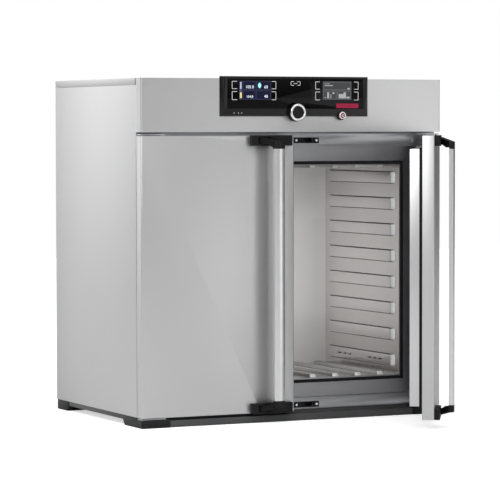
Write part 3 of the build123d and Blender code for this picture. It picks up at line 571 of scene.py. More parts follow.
softenedNodes = {  # node: finish, edge radius in mm, finish of the rounded edge (on steel sheets a lighter copy of the casing steel: painted highlight)
    "base_side_rails": ("railPaint", 1.2, None),
    "base_cross_rails": ("railPaint", 1.2, None),
    "front_feet": ("footMoulding", 1.6, None),
    "rear_feet": ("footMoulding", 1.6, None),
    "side_panel_left": ("casingSteel", 0.5, "casingEdgeHighlight"),
    "side_panel_right": ("casingSteel", 0.5, "casingEdgeHighlight"),
    "top_cover": ("casingSteel", 0.6, "casingEdgeHighlight"),
    "rear_panel": ("backSheet", 0.4, None),
    "bottom_panel": ("backSheet", 0.4, None),
    "header_fascia": ("casingSteel", 0.6, "casingEdgeHighlight"),
    "front_frame_outer": ("frameSteel", 0.4, "casingEdgeHighlight"),
    "front_frame_inner": ("frameSteel", 0.5, "casingEdgeHighlight"),
    "strike_plates": ("blackMoulding", 0.6, None),
    "hinge_brackets": ("frameSteel", 0.5, "casingEdgeHighlight"),
    "air_baffle": ("baffleSteel", 0.3, None),
    "chamber_back_wall": ("backSheet", 0.4, None),
    "heater_plates": ("heaterFoil", 0.5, None),
    "insulation_slabs": ("mineralWool", 3.0, None),
    "insulation_back": ("mineralWool", 2.0, None),
    "temperature_sensors": ("screwSteel", 0.5, None),
    "fan_motor": ("partGrey", 1.5, None),
    "fan_shaft": ("screwSteel", 0.4, None),
    "exhaust_tube": ("backSheet", 0.8, None),
    "air_flap": ("screwSteel", 0.2, None),
    "flap_actuator": ("partGrey", 1.2, None),
    "control_housing": ("housingBlack", 1.0, None),
    "control_glass": ("controlGlass", 0.5, None),
    "display_modules": ("partGrey", 0.8, None),
    "control_board": ("boardGreen", 0.3, None),
    "encoder": ("partGrey", 0.4, None),
    "power_switch": ("partGrey", 0.4, None),
    "knob_core": ("blackMoulding", 0.8, None),
    "left_door_shell": ("casingSteel", 0.5, "casingEdgeHighlight"),
    "right_door_shell": ("casingSteel", 0.5, "casingEdgeHighlight"),
    "left_door_core": ("mineralWool", 1.0, None),
    "right_door_core": ("mineralWool", 1.0, None),
    "left_door_plug": ("plugSteel", 0.8, "casingEdgeHighlight"),
    "right_door_plug": ("plugSteel", 0.8, "casingEdgeHighlight"),
    "left_door_bushes": ("screwSteel", 0.4, None),
    "right_door_bushes": ("screwSteel", 0.4, None),
    "left_handle_brackets": ("blackMoulding", 2.0, None),
    "right_handle_brackets": ("blackMoulding", 2.0, None),
    "left_handle_arms": ("blackMoulding", 2.2, None),
    "right_handle_arms": ("blackMoulding", 2.2, None),
}

flatSheets = ("rear_panel", "header_fascia")  # large faces with openings keep one flat shading

for node, (finish, radius, edge) in softenedNodes.items():
    mesh = mergedCopy(node)
    mesh.materials.clear()
    mesh.materials.append(finishes[finish])
    if edge:
        mesh.materials.append(finishes[edge])
    mesh.polygons.foreach_set("material_index", [0] * len(mesh.polygons))
    mesh = bevelled(mesh, radius / 1000, segments=2, edgeSlot=1 if edge else -1)
    mesh = smoothed(mesh, 12 if node in flatSheets else 34)
    seat(camel(node), mesh, frame["nodes"][node]["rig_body"], None, stands=(node,))
print("sheets and mouldings:", len(softenedNodes))


# Geometry Nodes trees that repeat a small piece

def repeatTree(name, inputs):
    tree = bpy.data.node_groups.new(name, "GeometryNodeTree")
    for label, kind in inputs:
        tree.interface.new_socket(label, in_out="INPUT", socket_type="NodeSocket" + kind)
    tree.interface.new_socket("Geometry", in_out="OUTPUT", socket_type="NodeSocketGeometry")
    return tree, tree.nodes.new("NodeGroupInput").outputs, tree.nodes.new("NodeGroupOutput").inputs


def endTree(tree, given, out, points, rotation=None):
    shape = addNode(
        tree, "GeometryNodeObjectInfo", {"transform_space": "ORIGINAL"},
        {"Object": given["Piece"], "As Instance": True}
    )
    placed = addNode(
        tree, "GeometryNodeInstanceOnPoints", None,
        {"Points": points, "Instance": shape.outputs["Geometry"]}
    )
    if rotation is not None:
        tree.links.new(rotation, placed.inputs["Rotation"])
    real = addNode(tree, "GeometryNodeRealizeInstances", None, {0: placed.outputs[0]})
    coloured = addNode(
        tree, "GeometryNodeSetMaterial", None,
        {"Geometry": real.outputs[0], "Material": given["Finish"]}
    )
    tree.links.new(coloured.outputs[0], out["Geometry"])


def makeRowTree():
    tree, given, out = repeatTree(
        "rowOfPieces",
        [
            ("Piece", "Object"), ("Count", "Int"), ("Start", "Vector"), ("Step", "Vector"),
            ("Turn", "Vector"), ("Finish", "Material")
        ]
    )
    line = addNode(
        tree, "GeometryNodeMeshLine", {"mode": "OFFSET"},
        {"Count": given["Count"], "Start Location": given["Start"], "Offset": given["Step"]}
    )
    turn = addNode(tree, "FunctionNodeEulerToRotation", None, {0: given["Turn"]})
    endTree(tree, given, out, line.outputs[0], turn.outputs[0])
    return tree


def makeRingTree():
    tree, given, out = repeatTree(
        "ringOfPieces",
        [("Piece", "Object"), ("Count", "Int"), ("Radius", "Float"), ("Finish", "Material")]
    )
    ring = addNode(
        tree, "GeometryNodeMeshCircle", None, {"Vertices": given["Count"], "Radius": given["Radius"]}
    )
    index = addNode(tree, "GeometryNodeInputIndex").outputs[0]
    share = addNode(
        tree, "ShaderNodeMath", {"operation": "DIVIDE"}, {0: 2 * math.pi, 1: given["Count"]}
    ).outputs[0]
    angle = addNode(tree, "ShaderNodeMath", {"operation": "MULTIPLY"}, {0: index, 1: share}).outputs[0]
    euler = addNode(tree, "ShaderNodeCombineXYZ", None, {"Z": angle}).outputs[0]
    turn = addNode(tree, "FunctionNodeEulerToRotation", None, {0: euler})
    endTree(tree, given, out, ring.outputs[0], turn.outputs[0])
    return tree


rowTree, ringTree = makeRowTree(), makeRingTree()


def grown(tree, pieceMesh, values):
    shape = bpy.data.objects.new("shape", pieceMesh)
    host = bpy.data.objects.new("host", bpy.data.meshes.new("host"))
    for each in (shape, host):
        bpy.context.scene.collection.objects.link(each)
    modifier = host.modifiers.new("repeat", "NODES")
    modifier.node_group = tree
    values = {**values, "Piece": shape}
    for item in tree.interface.items_tree:
        if item.in_out == "INPUT" and item.name in values:
            modifier[item.identifier] = values[item.name]
    mesh = applied(host)
    bpy.data.objects.remove(shape)
    return mesh


def joinMeshes(meshes):
    work = bmesh.new()
    for mesh in meshes:
        work.from_mesh(mesh)
    joined = bpy.data.meshes.new("joined")
    work.to_mesh(joined)
    work.free()
    return joined


# Chamber lining: flat sheets, and pressed beads in rows

beadValues = {
    "foot": 0.0008,  # how far a bead is let into its sheet
    "wall": {
        "length": 0.537, "width": 0.048, "rise": 0.011, "endRun": 0.019, "sideRun": 0.005,
        "corner": 0.014, "count": 8, "pitch": 0.099, "middle": (0.3465, 0.541),
    },
    "floor": {
        "length": 0.537, "width": 0.030, "rise": 0.011, "endRun": 0.013, "sideRun": 0.005,
        "corner": 0.010, "count": 10, "pitch": 0.095,
    },
    "slots": {"length": 0.036, "height": 0.005, "pitch": 0.042, "groups": 0.245},
    "slotShade": {"out": (0.0011, 0.0014), "length": 0.38, "height": 0.008},
}
chamber = {"x": 0.488, "low": 0.146, "high": 0.936, "front": 0.0478, "back": 0.647, "sheet": 0.0015}


def beadMesh(v):
    work = bmesh.new()  # lies along Y, rises to +Z
    rings = []
    steps = 10
    levels = [(0.0, -beadValues["foot"])]
    for i in range(steps + 1):
        t = i / steps
        levels.append((t, v["rise"] * math.sin(t * math.pi / 2)))
    for t, z in levels:
        halfY = v["length"] / 2 - v["endRun"] * t
        halfX = v["width"] / 2 - v["sideRun"] * t
        corner = v["corner"] * (1 - 0.35 * t)
        rings.append([(px, py, z) for px, py in roundedRect(halfX, halfY, corner, steps=7)])
    addRings(work, rings)
    return asMesh(work)


def slotCutter(low, side):
    v = beadValues["slots"]
    work = bmesh.new()
    for group in (-1, 1):
        for i in (-1, 0, 1):
            y = beadValues["wall"]["middle"][0] + group * v["groups"] / 2 + i * v["pitch"]
            outline = roundedRect(v["length"] / 2, v["height"] / 2, v["height"] / 2, steps=5)
            rings = [
                [(side * x, y + py, low + pz) for py, pz in outline]
                for x in (chamber["x"] - 0.02, chamber["x"] + 0.02)
            ]
            addRings(work, rings)
    return asMesh(work)


def cut(mesh, cutterMesh):
    piece = bpy.data.objects.new("cutting", mesh)
    cutter = bpy.data.objects.new("cutter", cutterMesh)
    for each in (piece, cutter):
        bpy.context.scene.collection.objects.link(each)
    boolean = piece.modifiers.new("cut", "BOOLEAN")
    boolean.operation = "DIFFERENCE"
    boolean.object = cutter
    result = applied(piece)
    bpy.data.objects.remove(cutter)
    return result


def beadsWithPaintedLight(name, mesh, finish, across=None):
    seat(name, smoothed(mesh, 50), "cabinet", finish, slot="chamber_steel")
    for paintedLight in ("creaseShadeSteel", "capHighlightAndScrewSteel"):
        mesh.materials.append(finishes[paintedLight])
    for face in mesh.polygons:  # painted shade on the steep long sides of each bead and a painted highlight on the rounded front ends
        if face.normal.y < -0.3:
            face.material_index = 2
        elif across is not None and abs(face.normal[across]) > 0.9:
            face.material_index = 1


def makeChamberWall(node, side):
    v = beadValues["wall"]
    c = chamber
    end = "Right" if side > 0 else "Left"
    middle = v["middle"][0]
    lowest = v["middle"][1] - (v["count"] - 1) / 2 * v["pitch"]
    work = bmesh.new()
    xs = sorted((side * c["x"], side * (c["x"] + c["sheet"])))
    addBox(work, (xs[0], c["front"], c["low"] - c["sheet"]), (xs[1], c["back"], c["high"] + c["sheet"]))
    sheet = cut(asMesh(work), slotCutter(lowest, side))
    seat(camel(node), smoothed(sheet), "cabinet", "chamberSteel", stands=(node,))
    turn = (0.0, -side * math.pi / 2, 0.0)
    values = {"Turn": turn, "Finish": finishes["beadSteel"], "Step": (0, 0, v["pitch"])}
    above = {"Count": v["count"] - 1, "Start": (side * c["x"], middle, lowest + v["pitch"])}
    plain = grown(rowTree, beadMesh(v), {**values, **above})
    first = {"Count": 1, "Start": (side * c["x"], middle, lowest)}
    vented = cut(grown(rowTree, beadMesh(v), {**values, **first}), slotCutter(lowest, side))
    dark = beadValues["slotShade"]  # stands for the unlit duct behind the vent slots
    duct = sorted(side * (c["x"] + out) for out in dark["out"])
    shade = bmesh.new()
    addBox(
        shade, (duct[0], middle - dark["length"] / 2, lowest - dark["height"] / 2),
        (duct[1], middle + dark["length"] / 2, lowest + dark["height"] / 2)
    )
    seat("slotShade" + end, asMesh(shade), "cabinet", "sealRubber", slot="chamber_steel")
    beadsWithPaintedLight("wallBeads" + end, joinMeshes([plain, vented]), "beadSteel", across=2)


def makeLevelSheet(node, z, upward):
    v = beadValues["floor"]
    c = chamber
    work = bmesh.new()
    zs = sorted((z, z - upward * c["sheet"]))
    addBox(work, (-c["x"] + 0.0003, c["front"], zs[0]), (c["x"] - 0.0003, c["back"], zs[1]))
    seat(camel(node), smoothed(asMesh(work)), "cabinet", "floorCeilingShadedSteel", stands=(node,))
    first = -(v["count"] - 1) / 2 * v["pitch"]
    turn = (0.0, 0.0, 0.0) if upward > 0 else (0.0, math.pi, 0.0)
    beads = grown(
        rowTree, beadMesh(v),
        {
            "Turn": turn, "Finish": finishes["beadSteel"], "Count": v["count"],
            "Start": (first, beadValues["wall"]["middle"][0], z), "Step": (v["pitch"], 0, 0)
        }
    )
    beadsWithPaintedLight(camel(node) + "Beads", beads, "floorCeilingShadedSteel")


makeChamberWall("chamber_wall_right", 1)
makeChamberWall("chamber_wall_left", -1)
makeLevelSheet("chamber_floor", chamber["low"], 1)
makeLevelSheet("chamber_ceiling", chamber["high"], -1)
print("chamber lining done")


# Seals

sealValues = {
    "mouth": {
        "half": 0.492, "low": 0.142, "high": 0.940, "width": 0.012, "front": 0.0423, "back": 0.046
    },
    "door": {
        "free": 0.0025, "plug": 0.016, "hinge": 0.5525, "low": 0.084, "high": 1.0, "lipOut": 0.0175,
        "bulbOut": 0.0045, "back": -0.003, "lipFront": -0.0003, "bulbFront": 0.008
    }
}


def makeMouthSeal():
    v = sealValues["mouth"]
    w, f, b = v["width"], v["front"], v["back"]
    profile = [
        (0.0002, b), (0.0, f + 0.0014), (0.0012, f + 0.0003), (0.003, f), (0.0045, f + 0.0005),
        (0.006, f + 0.0012), (0.0075, f + 0.0005), (0.009, f), (w - 0.0012, f + 0.0003),
        (w, f + 0.0014), (w - 0.0002, b)
    ]
    mesh = sweptFrame((-v["half"], v["low"]), (v["half"], v["high"]), profile)
    seat("mouthSeal", smoothed(mesh, 60), "cabinet", "sealRubber", stands=("mouth_seal",))


def makeDoorGasket(side):
    v = sealValues["door"]
    lip = v["lipOut"]
    high = (v["hinge"], v["high"])
    y0, y1 = v["back"], v["lipFront"]
    flat = [
        (0.0, y0 + 0.0001), (0.0, y1), (lip - 0.0025, y1), (lip - 0.0008, y1 - 0.0006),
        (lip, y1 - 0.0017), (lip - 0.0002, y0 + 0.0001)
    ]
    out, f = v["bulbOut"], v["bulbFront"]
    bulb = [
        (0.0003, y0 + 0.001), (0.0003, f - 0.002), (0.0009, f - 0.0005), (0.0022, f),
        (0.0036, f - 0.0005), (out, f - 0.0022), (out + 0.0002, f - 0.005), (out - 0.0008, y1),
        (out - 0.0008, y0 + 0.001)
    ]
    low = (v["plug"], v["low"])
    freeLimit = v["plug"] - v["free"]
    strips = [
        sweptFrame(low, high, flat, freeLimit=freeLimit),
        sweptFrame(low, high, bulb, freeLimit=freeLimit)
    ]
    mesh = onDoor(joinMeshes(strips), side)
    seat(
        side + "DoorGasket", smoothed(mesh, 50), side + "_door", "sealRubber",
        stands=(side + "_door_gasket",)
    )


makeMouthSeal()
for side in ("left", "right"):
    makeDoorGasket(side)
print("seals done")


# Handle bars: crowned aluminium section with small rounded corners

barValues = {
    "x": 0.092, "half": 0.021, "outer": -0.116, "inner": -0.096, "crown": 0.005, "low": 0.084,
    "high": 1.0, "corner": 0.0022
}


def makeHandleBar(side):
    v = barValues
    outline = []
    for i in range(25):
        t = -1 + 2 * i / 24
        outline.append((t * (v["half"] - v["corner"] * 0.35), v["outer"] + v["crown"] * t * t))
    front, back = v["outer"] + v["crown"] + v["corner"], v["inner"] - v["corner"]
    for cx, cy, start, turn in (
            (1, front, -70, 70), (1, back, 0, 90), (-1, back, 90, 90), (-1, front, 180, 70)
    ):
        for i in range(6):
            a = math.radians(start + turn * i / 5)
            outline.append(
                (
                    cx * (v["half"] - v["corner"]) + v["corner"] * math.cos(a),
                    cy + v["corner"] * math.sin(a)
                )
            )
    work = bmesh.new()
    rings = [[(v["x"] + px, py, z) for px, py in outline] for z in (v["low"], v["high"])]
    addRings(work, rings)
    mesh = onDoor(asMesh(work), side)
    seat(
        side + "HandleBar", smoothed(mesh, 25), side + "_lever", "barAluminium",
        stands=(side + "_handle_bar",)
    )


for side in ("left", "right"):
    makeHandleBar(side)
print("handle bars done")


# Screws: flat heads with a cross recess

screwValues = {"radius": 0.0045, "height": 0.0004, "cross": (0.0026, 0.0005), "depth": 0.00028}


def screwMesh(v):
    head = turned(
        [
            (0.0, 0.0), (v["radius"], 0.0), (v["radius"], -v["height"] * 0.5),
            (v["radius"] * 0.86, -v["height"]), (0.0, -v["height"])
        ], 0, 0, steps=28
    )
    reach, half = v["cross"]
    for a, b in ((reach, half), (half, reach)):
        work = bmesh.new()
        addBox(work, (-a, -v["height"] * 2, -b), (a, -v["height"] + v["depth"], b))
        head = cut(head, asMesh(work))
    return head


strikeValues = {"x": (0.030, 0.113), "front": -0.0025, "z": (0.054, 1.030)}
rows = []
for side in (-1, 1):
    for z in strikeValues["z"]:
        x0, x1 = strikeValues["x"]
        rows.append(
            grown(
                rowTree, screwMesh(screwValues),
                {
                    "Count": 2, "Start": (side * x0, strikeValues["front"], z),
                    "Step": (side * (x1 - x0), 0, 0), "Turn": (0, 0.35 * side, 0),
                    "Finish": finishes["screwSteel"]
                }
            )
        )
seat("strikeScrews", smoothed(joinMeshes(rows)), "cabinet", "capHighlightAndScrewSteel", stands=("strike_screws",))

backScrewValues = {"radius": 0.0045, "height": 0.002, "cross": (0.0024, 0.0006), "depth": 0.0012}
rearScrewPlace = {"x": 0.5925, "y": 0.757, "low": 0.157, "step": 0.47625}
rows = []
for side in (-1, 1):
    head = screwMesh(backScrewValues)
    head.transform(Matrix.Rotation(math.pi, 4, "Z"))
    rows.append(
        grown(
            rowTree, head,
            {
                "Count": 3,
                "Start": (side * rearScrewPlace["x"], rearScrewPlace["y"], rearScrewPlace["low"]),
                "Step": (0, 0, rearScrewPlace["step"]), "Turn": (0, 0.5 * side, 0),
                "Finish": finishes["screwSteel"]
            }
        )
    )
seat("rearScrews", smoothed(joinMeshes(rows)), "cabinet", "screwSteel", stands=("rear_screws",))
print("screws done, faces in one head:", len(screwMesh(backScrewValues).polygons))


# Fan wheel: curved blades round a hub and a back plate

fanValues = {
    "blades": 12, "radius": 0.09, "root": 0.054, "front": 0.6535, "width": 0.020, "plate": 0.002,
    "hub": 0.014, "bore": 0.005, "z": 0.541, "sweep": 0.35
}


def makeFanWheel():
    v = fanValues
    y0, y1 = v["front"], v["front"] + v["width"]
    disc = turned(
        [
            (v["bore"], y0), (v["hub"] - 0.001, y0), (v["hub"], y0 + 0.001),
            (v["hub"], y1 - v["plate"]), (v["radius"], y1 - v["plate"]), (v["radius"], y1),
            (v["bore"], y1)
        ], 0, 0, steps=72, loop=True
    )
    work = bmesh.new()
    rings = []
    for i in range(9):
        t = i / 8
        radius = v["root"] + (v["radius"] - 0.002 - v["root"]) * t
        a = v["sweep"] * t
        cx, cz = radius * math.cos(a), radius * math.sin(a)
        nx, nz = -math.sin(a) * 0.0008, math.cos(a) * 0.0008
        rings.append(
            [
                (cx - nx - v["root"], y0, cz - nz), (cx + nx - v["root"], y0, cz + nz),
                (cx + nx - v["root"], y1 - v["plate"], cz + nz),
                (cx - nx - v["root"], y1 - v["plate"], cz - nz)
            ]
        )
    addRings(work, rings)
    blade = asMesh(work)
    blade.transform(Matrix.Rotation(math.pi / 2, 4, "X"))  # the ring tree turns about Z
    blades = grown(
        ringTree, blade, {"Count": v["blades"], "Radius": v["root"], "Finish": finishes["screwSteel"]}
    )
    blades.transform(Matrix.Rotation(-math.pi / 2, 4, "X"))
    wheel = joinMeshes([disc, blades])
    wheel.transform(Matrix.Translation((0, 0, v["z"])))
    seat("fanWheel", smoothed(wheel), "fan", "chamberSteel", stands=("fan_wheel",))


makeFanWheel()
print("fan wheel done")


# Knob and power button

knobValues = {
    "x": 0.0, "z": 1.132, "front": -0.073, "ringFront": -0.080, "ringOut": 0.0315, "ringIn": 0.0225,
    "core": 0.028, "back": -0.0605, "dialFront": -0.0775, "dialBack": -0.0733, "dial": 0.020,
    "stem": 0.0025, "stemBack": -0.0653, "ribs": 48
}
powerValues = {
    "x": 0.188, "z": 1.121, "front": -0.070, "back": -0.060, "radius": 0.014, "stem": 0.005,
    "stemBack": -0.040
}


def makeKnob():
    v = knobValues
    f, b = v["ringFront"], v["front"]
    ring = turned(
        [
            (v["ringIn"], b), (v["ringIn"], f + 0.0022), (v["ringIn"] + 0.0012, f + 0.0006),
            (v["ringIn"] + 0.003, f), (v["ringOut"] - 0.003, f), (v["ringOut"] - 0.0008, f + 0.0009),
            (v["ringOut"], f + 0.0026), (v["ringOut"], b)
        ], v["x"], v["z"], steps=96, loop=True
    )
    seat("knobRing", smoothed(ring, 50), "knob", "ringMetal", stands=("knob_ring",))
    d = v["dialFront"]
    dial = turned(
        [
            (0.0, d + 0.0006), (0.009, d + 0.0005), (0.0165, d + 0.0001), (0.0185, d),
            (v["dial"], d + 0.0012), (v["dial"], v["dialBack"]), (v["stem"], v["dialBack"]),
            (v["stem"], v["stemBack"]), (0.0, v["stemBack"])
        ], v["x"], v["z"], steps=72
    )
    seat("knobDial", smoothed(dial, 40), "knob_push", "blackMoulding", stands=("knob_button",))
    grip = bmesh.new()
    addRings(
        grip,
        [
            [(px, pz, y) for px, pz in roundedRect(0.0009, 0.00055, 0.0004, steps=3)]
            for y in (0.0, 0.0115)
        ]
    )
    rib = asMesh(grip)
    ribs = grown(
        ringTree, rib, {"Count": v["ribs"], "Radius": v["core"], "Finish": finishes["blackMoulding"]}
    )
    ribs.transform(
        Matrix.Translation((v["x"], v["back"] - 0.0005, v["z"])) @ Matrix.Rotation(math.pi / 2, 4, "X")
    )
    seat("knobGripRibs", smoothed(ribs), "knob", "blackMoulding", slot="black_moulding")


def makePowerButton():
    v = powerValues
    f, b, r = v["front"], v["back"], v["radius"]
    sleeve = turned(
        [
            (0.0, f + 0.003), (r - 0.001, f + 0.003), (r - 0.0006, f + 0.0034), (r - 0.0006, b - 0.001),
            (r - 0.0012, b), (v["stem"], b), (v["stem"], v["stemBack"]), (0.0, v["stemBack"])
        ], v["x"], v["z"], steps=64
    )
    seat("powerSleeve", smoothed(sleeve), "power_push", "buttonRed", stands=("power_button",))
    ring = turned(
        [
            (0.0088, f + 0.0031), (0.0088, f + 0.0008), (0.0094, f + 0.0002), (0.0106, f),
            (r - 0.0014, f + 0.0002), (r - 0.0003, f + 0.0012), (r, f + 0.0028), (r - 0.001, f + 0.0031)
        ], v["x"], v["z"], steps=64, loop=True
    )
    seat("powerRing", smoothed(ring, 45), "power_push", "ringMetal", slot="ring_metal")
    face = turned(
        [
            (0.0, f + 0.0010), (0.0070, f + 0.0012), (0.0084, f + 0.0018), (0.0086, f + 0.0031),
            (0.0, f + 0.0031)
        ], v["x"], v["z"], steps=48
    )
    seat("powerFace", smoothed(face), "power_push", "buttonRed", slot="ring_metal")
    work = bmesh.new()
    section = ((0.0034, f + 0.0012), (0.0034, f + 0.0006), (0.0046, f + 0.0006), (0.0046, f + 0.0012))
    opening = 38  # degrees on each side of the upright stroke
    arc = []
    for i in range(25):
        angle = math.radians(90 + opening + (360 - 2 * opening) * i / 24)
        arc.append([aroundY(v["x"], y, v["z"], radius, angle) for radius, y in section])
    addRings(work, arc)
    addBox(
        work, (v["x"] - 0.0006, f + 0.0006, v["z"] + 0.001),
        (v["x"] + 0.0006, f + 0.0012, v["z"] + 0.0052)
    )
    seat("powerMark", smoothed(asMesh(work)), "power_push", "ringMetal", slot="ring_metal")


makeKnob()
makePowerButton()
print("knob and power button done")


# Cable gland: hexagon, domed nut and sleeve

glandValues = {
    "x": 0.450, "z": 0.110, "bore": 0.0045, "inner": 0.7455, "wall": 0.757, "end": 0.767, "neck": 0.008,
    "hex": 0.0118, "hole": 0.0095, "nut": 0.0102
}


def makeGland():
    v = glandValues
    body = turned(
        [
            (v["bore"], v["inner"]), (v["neck"] - 0.0006, v["inner"]), (v["neck"], v["inner"] + 0.0006),
            (v["neck"], v["wall"]), (v["nut"], v["wall"]), (v["nut"], v["wall"] + 0.0055),
            (v["nut"] - 0.0006, v["wall"] + 0.0075), (v["nut"] - 0.0026, v["end"] - 0.0006),
            (v["nut"] - 0.0036, v["end"]), (v["bore"] + 0.0005, v["end"]),
            (v["bore"], v["end"] - 0.0005)
        ], v["x"], v["z"], steps=48, loop=True
    )
    hexagon = (
        (v["hex"] - 0.0006, 0.0001), (v["hex"], 0.0007), (v["hex"], 0.0045),
        (v["hex"] - 0.0007, 0.0052), (v["hole"], 0.0052), (v["hole"], 0.0001)
    )
    work = bmesh.new()
    addRings(
        work, [circle(v["x"], v["wall"] + out, v["z"], radius, 6) for radius, out in hexagon],
        closeRound=True
    )
    mesh = joinMeshes([body, asMesh(work)])
    seat("mainsGland", smoothed(mesh), "cabinet", "blackMoulding", stands=("mains_gland",))


makeGland()
print("gland done")


# Control unit graphics: plain bars, brackets, tiles and numbers just proud of the glass

screenPlace = {"face": -0.0583, "step": 0.00012}


def plates(name, boxes, level, finish):
    y1 = screenPlace["face"] - level * screenPlace["step"]
    y0 = y1 - screenPlace["step"]
    work = bmesh.new()
    for x0, x1, z0, z1 in boxes:
        addBox(work, (x0 / 1000, y0, z0 / 1000), (x1 / 1000, y1 + 0.00008, z1 / 1000))
    seat(name, asMesh(work), "cabinet", finish, slot="display_face")


def bracketMarks(x0, x1, z0, z1, opensRight, line=1.7):
    spine = (x0, x0 + line, z0, z1) if opensRight else (x1 - line, x1, z0, z1)
    return [spine, (x0, x1, z0, z0 + line), (x0, x1, z1 - line, z1)]


def numberMesh(text, x, z, height, level):
    curve = bpy.data.curves.new("number", "FONT")
    curve.body = text
    curve.size = height / 1000 * 1.38  # digits stand at 0.72 of the font's size
    curve.align_x = "CENTER"
    curve.extrude = 0.00006
    piece = bpy.data.objects.new("number", curve)
    bpy.context.scene.collection.objects.link(piece)
    mesh = applied(piece)
    y = screenPlace["face"] - (level + 0.5) * screenPlace["step"]
    mesh.transform(Matrix.Translation((x / 1000, y, z / 1000)) @ Matrix.Rotation(math.pi / 2, 4, "X"))
    work = bmesh.new()
    work.from_mesh(mesh)
    bmesh.ops.remove_doubles(work, verts=work.verts, dist=1e-6)
    work.to_mesh(mesh)
    work.free()
    return mesh


def numbers(name, rows, level, finish):
    meshes = [numberMesh(*row, level) for row in rows]
    seat(name, joinMeshes(meshes), "cabinet", finish, slot="display_face")


markBoxes = []
for z0, z1 in ((1216.5, 1245), (1177, 1208)):
    for x0, x1, opens in (
            (-259, -238, True), (-98.5, -81, False), (79.5, 98.4, True), (240, 258, False)
    ):
        markBoxes += bracketMarks(x0, x1, z0, z1, opens)
markBoxes += bracketMarks(-21, -8, 1230, 1245, True, 1.5) + bracketMarks(5, 18, 1230, 1245, False, 1.5)
markBoxes += [(-8.5, 5.5, 1236.6, 1238.4)]
screenPlates = {  # X and Z ranges in mm, layer above the glass, finish
    "bracketMarks": (markBoxes, 0, "printWhite"),
    "crimsonBar": ([(166, 258, 1148, 1165)], 0, "printCrimson"),
    "lowerBand": ([(-291.5, 291.5, 1122.5, 1144)], 0, "housingBlack"),
    "readyDots": ([(x - 1.3, x + 1.3, 1128.3, 1130.9) for x in (-251, -233, -220)], 1, "printWhite"),
    "leftScreen": ([(-230, -100.6, 1178, 1246)], 0, "screenNavy"),
    "leftScreenBorders": ([
        (-215, -165, 1213.5, 1245), (-161, -101.5, 1213.5, 1245), (-215, -165, 1179, 1210.5),
        (-161, -101.5, 1179, 1210.5), (-229, -218, 1179, 1245),
    ], 1, "screenBorder"),
    "leftScreenTiles": ([
        (-214, -166, 1214.5, 1244), (-160, -102.5, 1214.5, 1244), (-214, -166, 1180, 1209.5),
        (-160, -102.5, 1180, 1209.5),
    ], 2, "screenTile"),
    "leftScreenScale": ([(-226, -221, 1218 + 4 * i, 1220 + 4 * i) for i in range(6)], 3, "screenWhite"),
    "leftScreenNumbers": ([  # text, middle and foot in mm, height
        ("105.0", -188, 1219, 11), ("60", -122, 1219, 11), ("104.8", -188, 1185, 9),
        ("40", -122, 1185, 11),
    ], 3, "screenWhite"),
    "leftScreenIconCyan": ([(-154, -142, 1224, 1235), (-151, -145, 1220, 1239)], 3, "screenCyan"),
    "leftScreenIconAmber": ([(-227, -220, 1184, 1204)], 3, "screenAmber"),
    "rightScreen": ([(109.6, 229, 1179, 1246)], 0, "screenGrey"),
    "rightScreenTiles": ([
        (113, 227, 1215, 1244), (113, 166, 1180.5, 1211), (171, 227, 1180.5, 1211),
    ], 1, "screenPale"),
    "rightScreenFaces": ([
        (114, 226, 1216, 1243), (114, 165, 1181.5, 1210), (172, 226, 1181.5, 1210),
    ], 2, "screenGrey"),
    "rightScreenBars": ([
        (118, 138, 1236, 1238), (118, 152, 1229, 1232), (212, 222, 1217, 1222), (117, 124, 1186, 1188),
        (128, 136, 1184, 1206), (142, 145, 1184, 1198), (150, 158, 1200, 1206), (176, 196, 1184, 1200),
        (196, 206, 1184, 1206), (208, 222, 1184, 1190),
    ], 3, "screenLight"),
}
for name, (rows, level, finish) in screenPlates.items():
    make = numbers if name.endswith("Numbers") else plates
    make(name, rows, level, finish)
print("control unit graphics done")


# Camera at the photograph's place

cameraValues = {
    "place": (-4.5013, -8.9475, 1.0780), "yaw": 0.4518067644781828, "pitch": 0.04499053146060029,
    "roll": -0.0015262089440967934, "focal": 2725.470554967774 / 500 * 36.0
}


def makeCamera(v):
    data = bpy.data.cameras.new("camera")
    data.sensor_width = 36.0
    data.lens = v["focal"]
    data.clip_start, data.clip_end = 0.1, 100.0
    camera = bpy.data.objects.new("camera", data)
    bpy.context.scene.collection.objects.link(camera)
    forward = Vector(
        (
            math.sin(v["yaw"]) * math.cos(v["pitch"]), math.cos(v["yaw"]) * math.cos(v["pitch"]),
            -math.sin(v["pitch"])
        )
    )
    right = Vector((math.cos(v["yaw"]), -math.sin(v["yaw"]), 0.0))
    up = right.cross(forward)
    across = right * math.cos(v["roll"]) + up * math.sin(v["roll"])
    upward = -right * math.sin(v["roll"]) + up * math.cos(v["roll"])
    turn = Matrix((across, upward, -forward)).transposed().to_4x4()
    camera.matrix_world = Matrix.Translation(v["place"]) @ turn
    bpy.context.scene.camera = camera


makeCamera(cameraValues)


# Pale floor, white surroundings and soft lamps

floorValues = {"lift": 0.6}  # brightness that only the camera sees


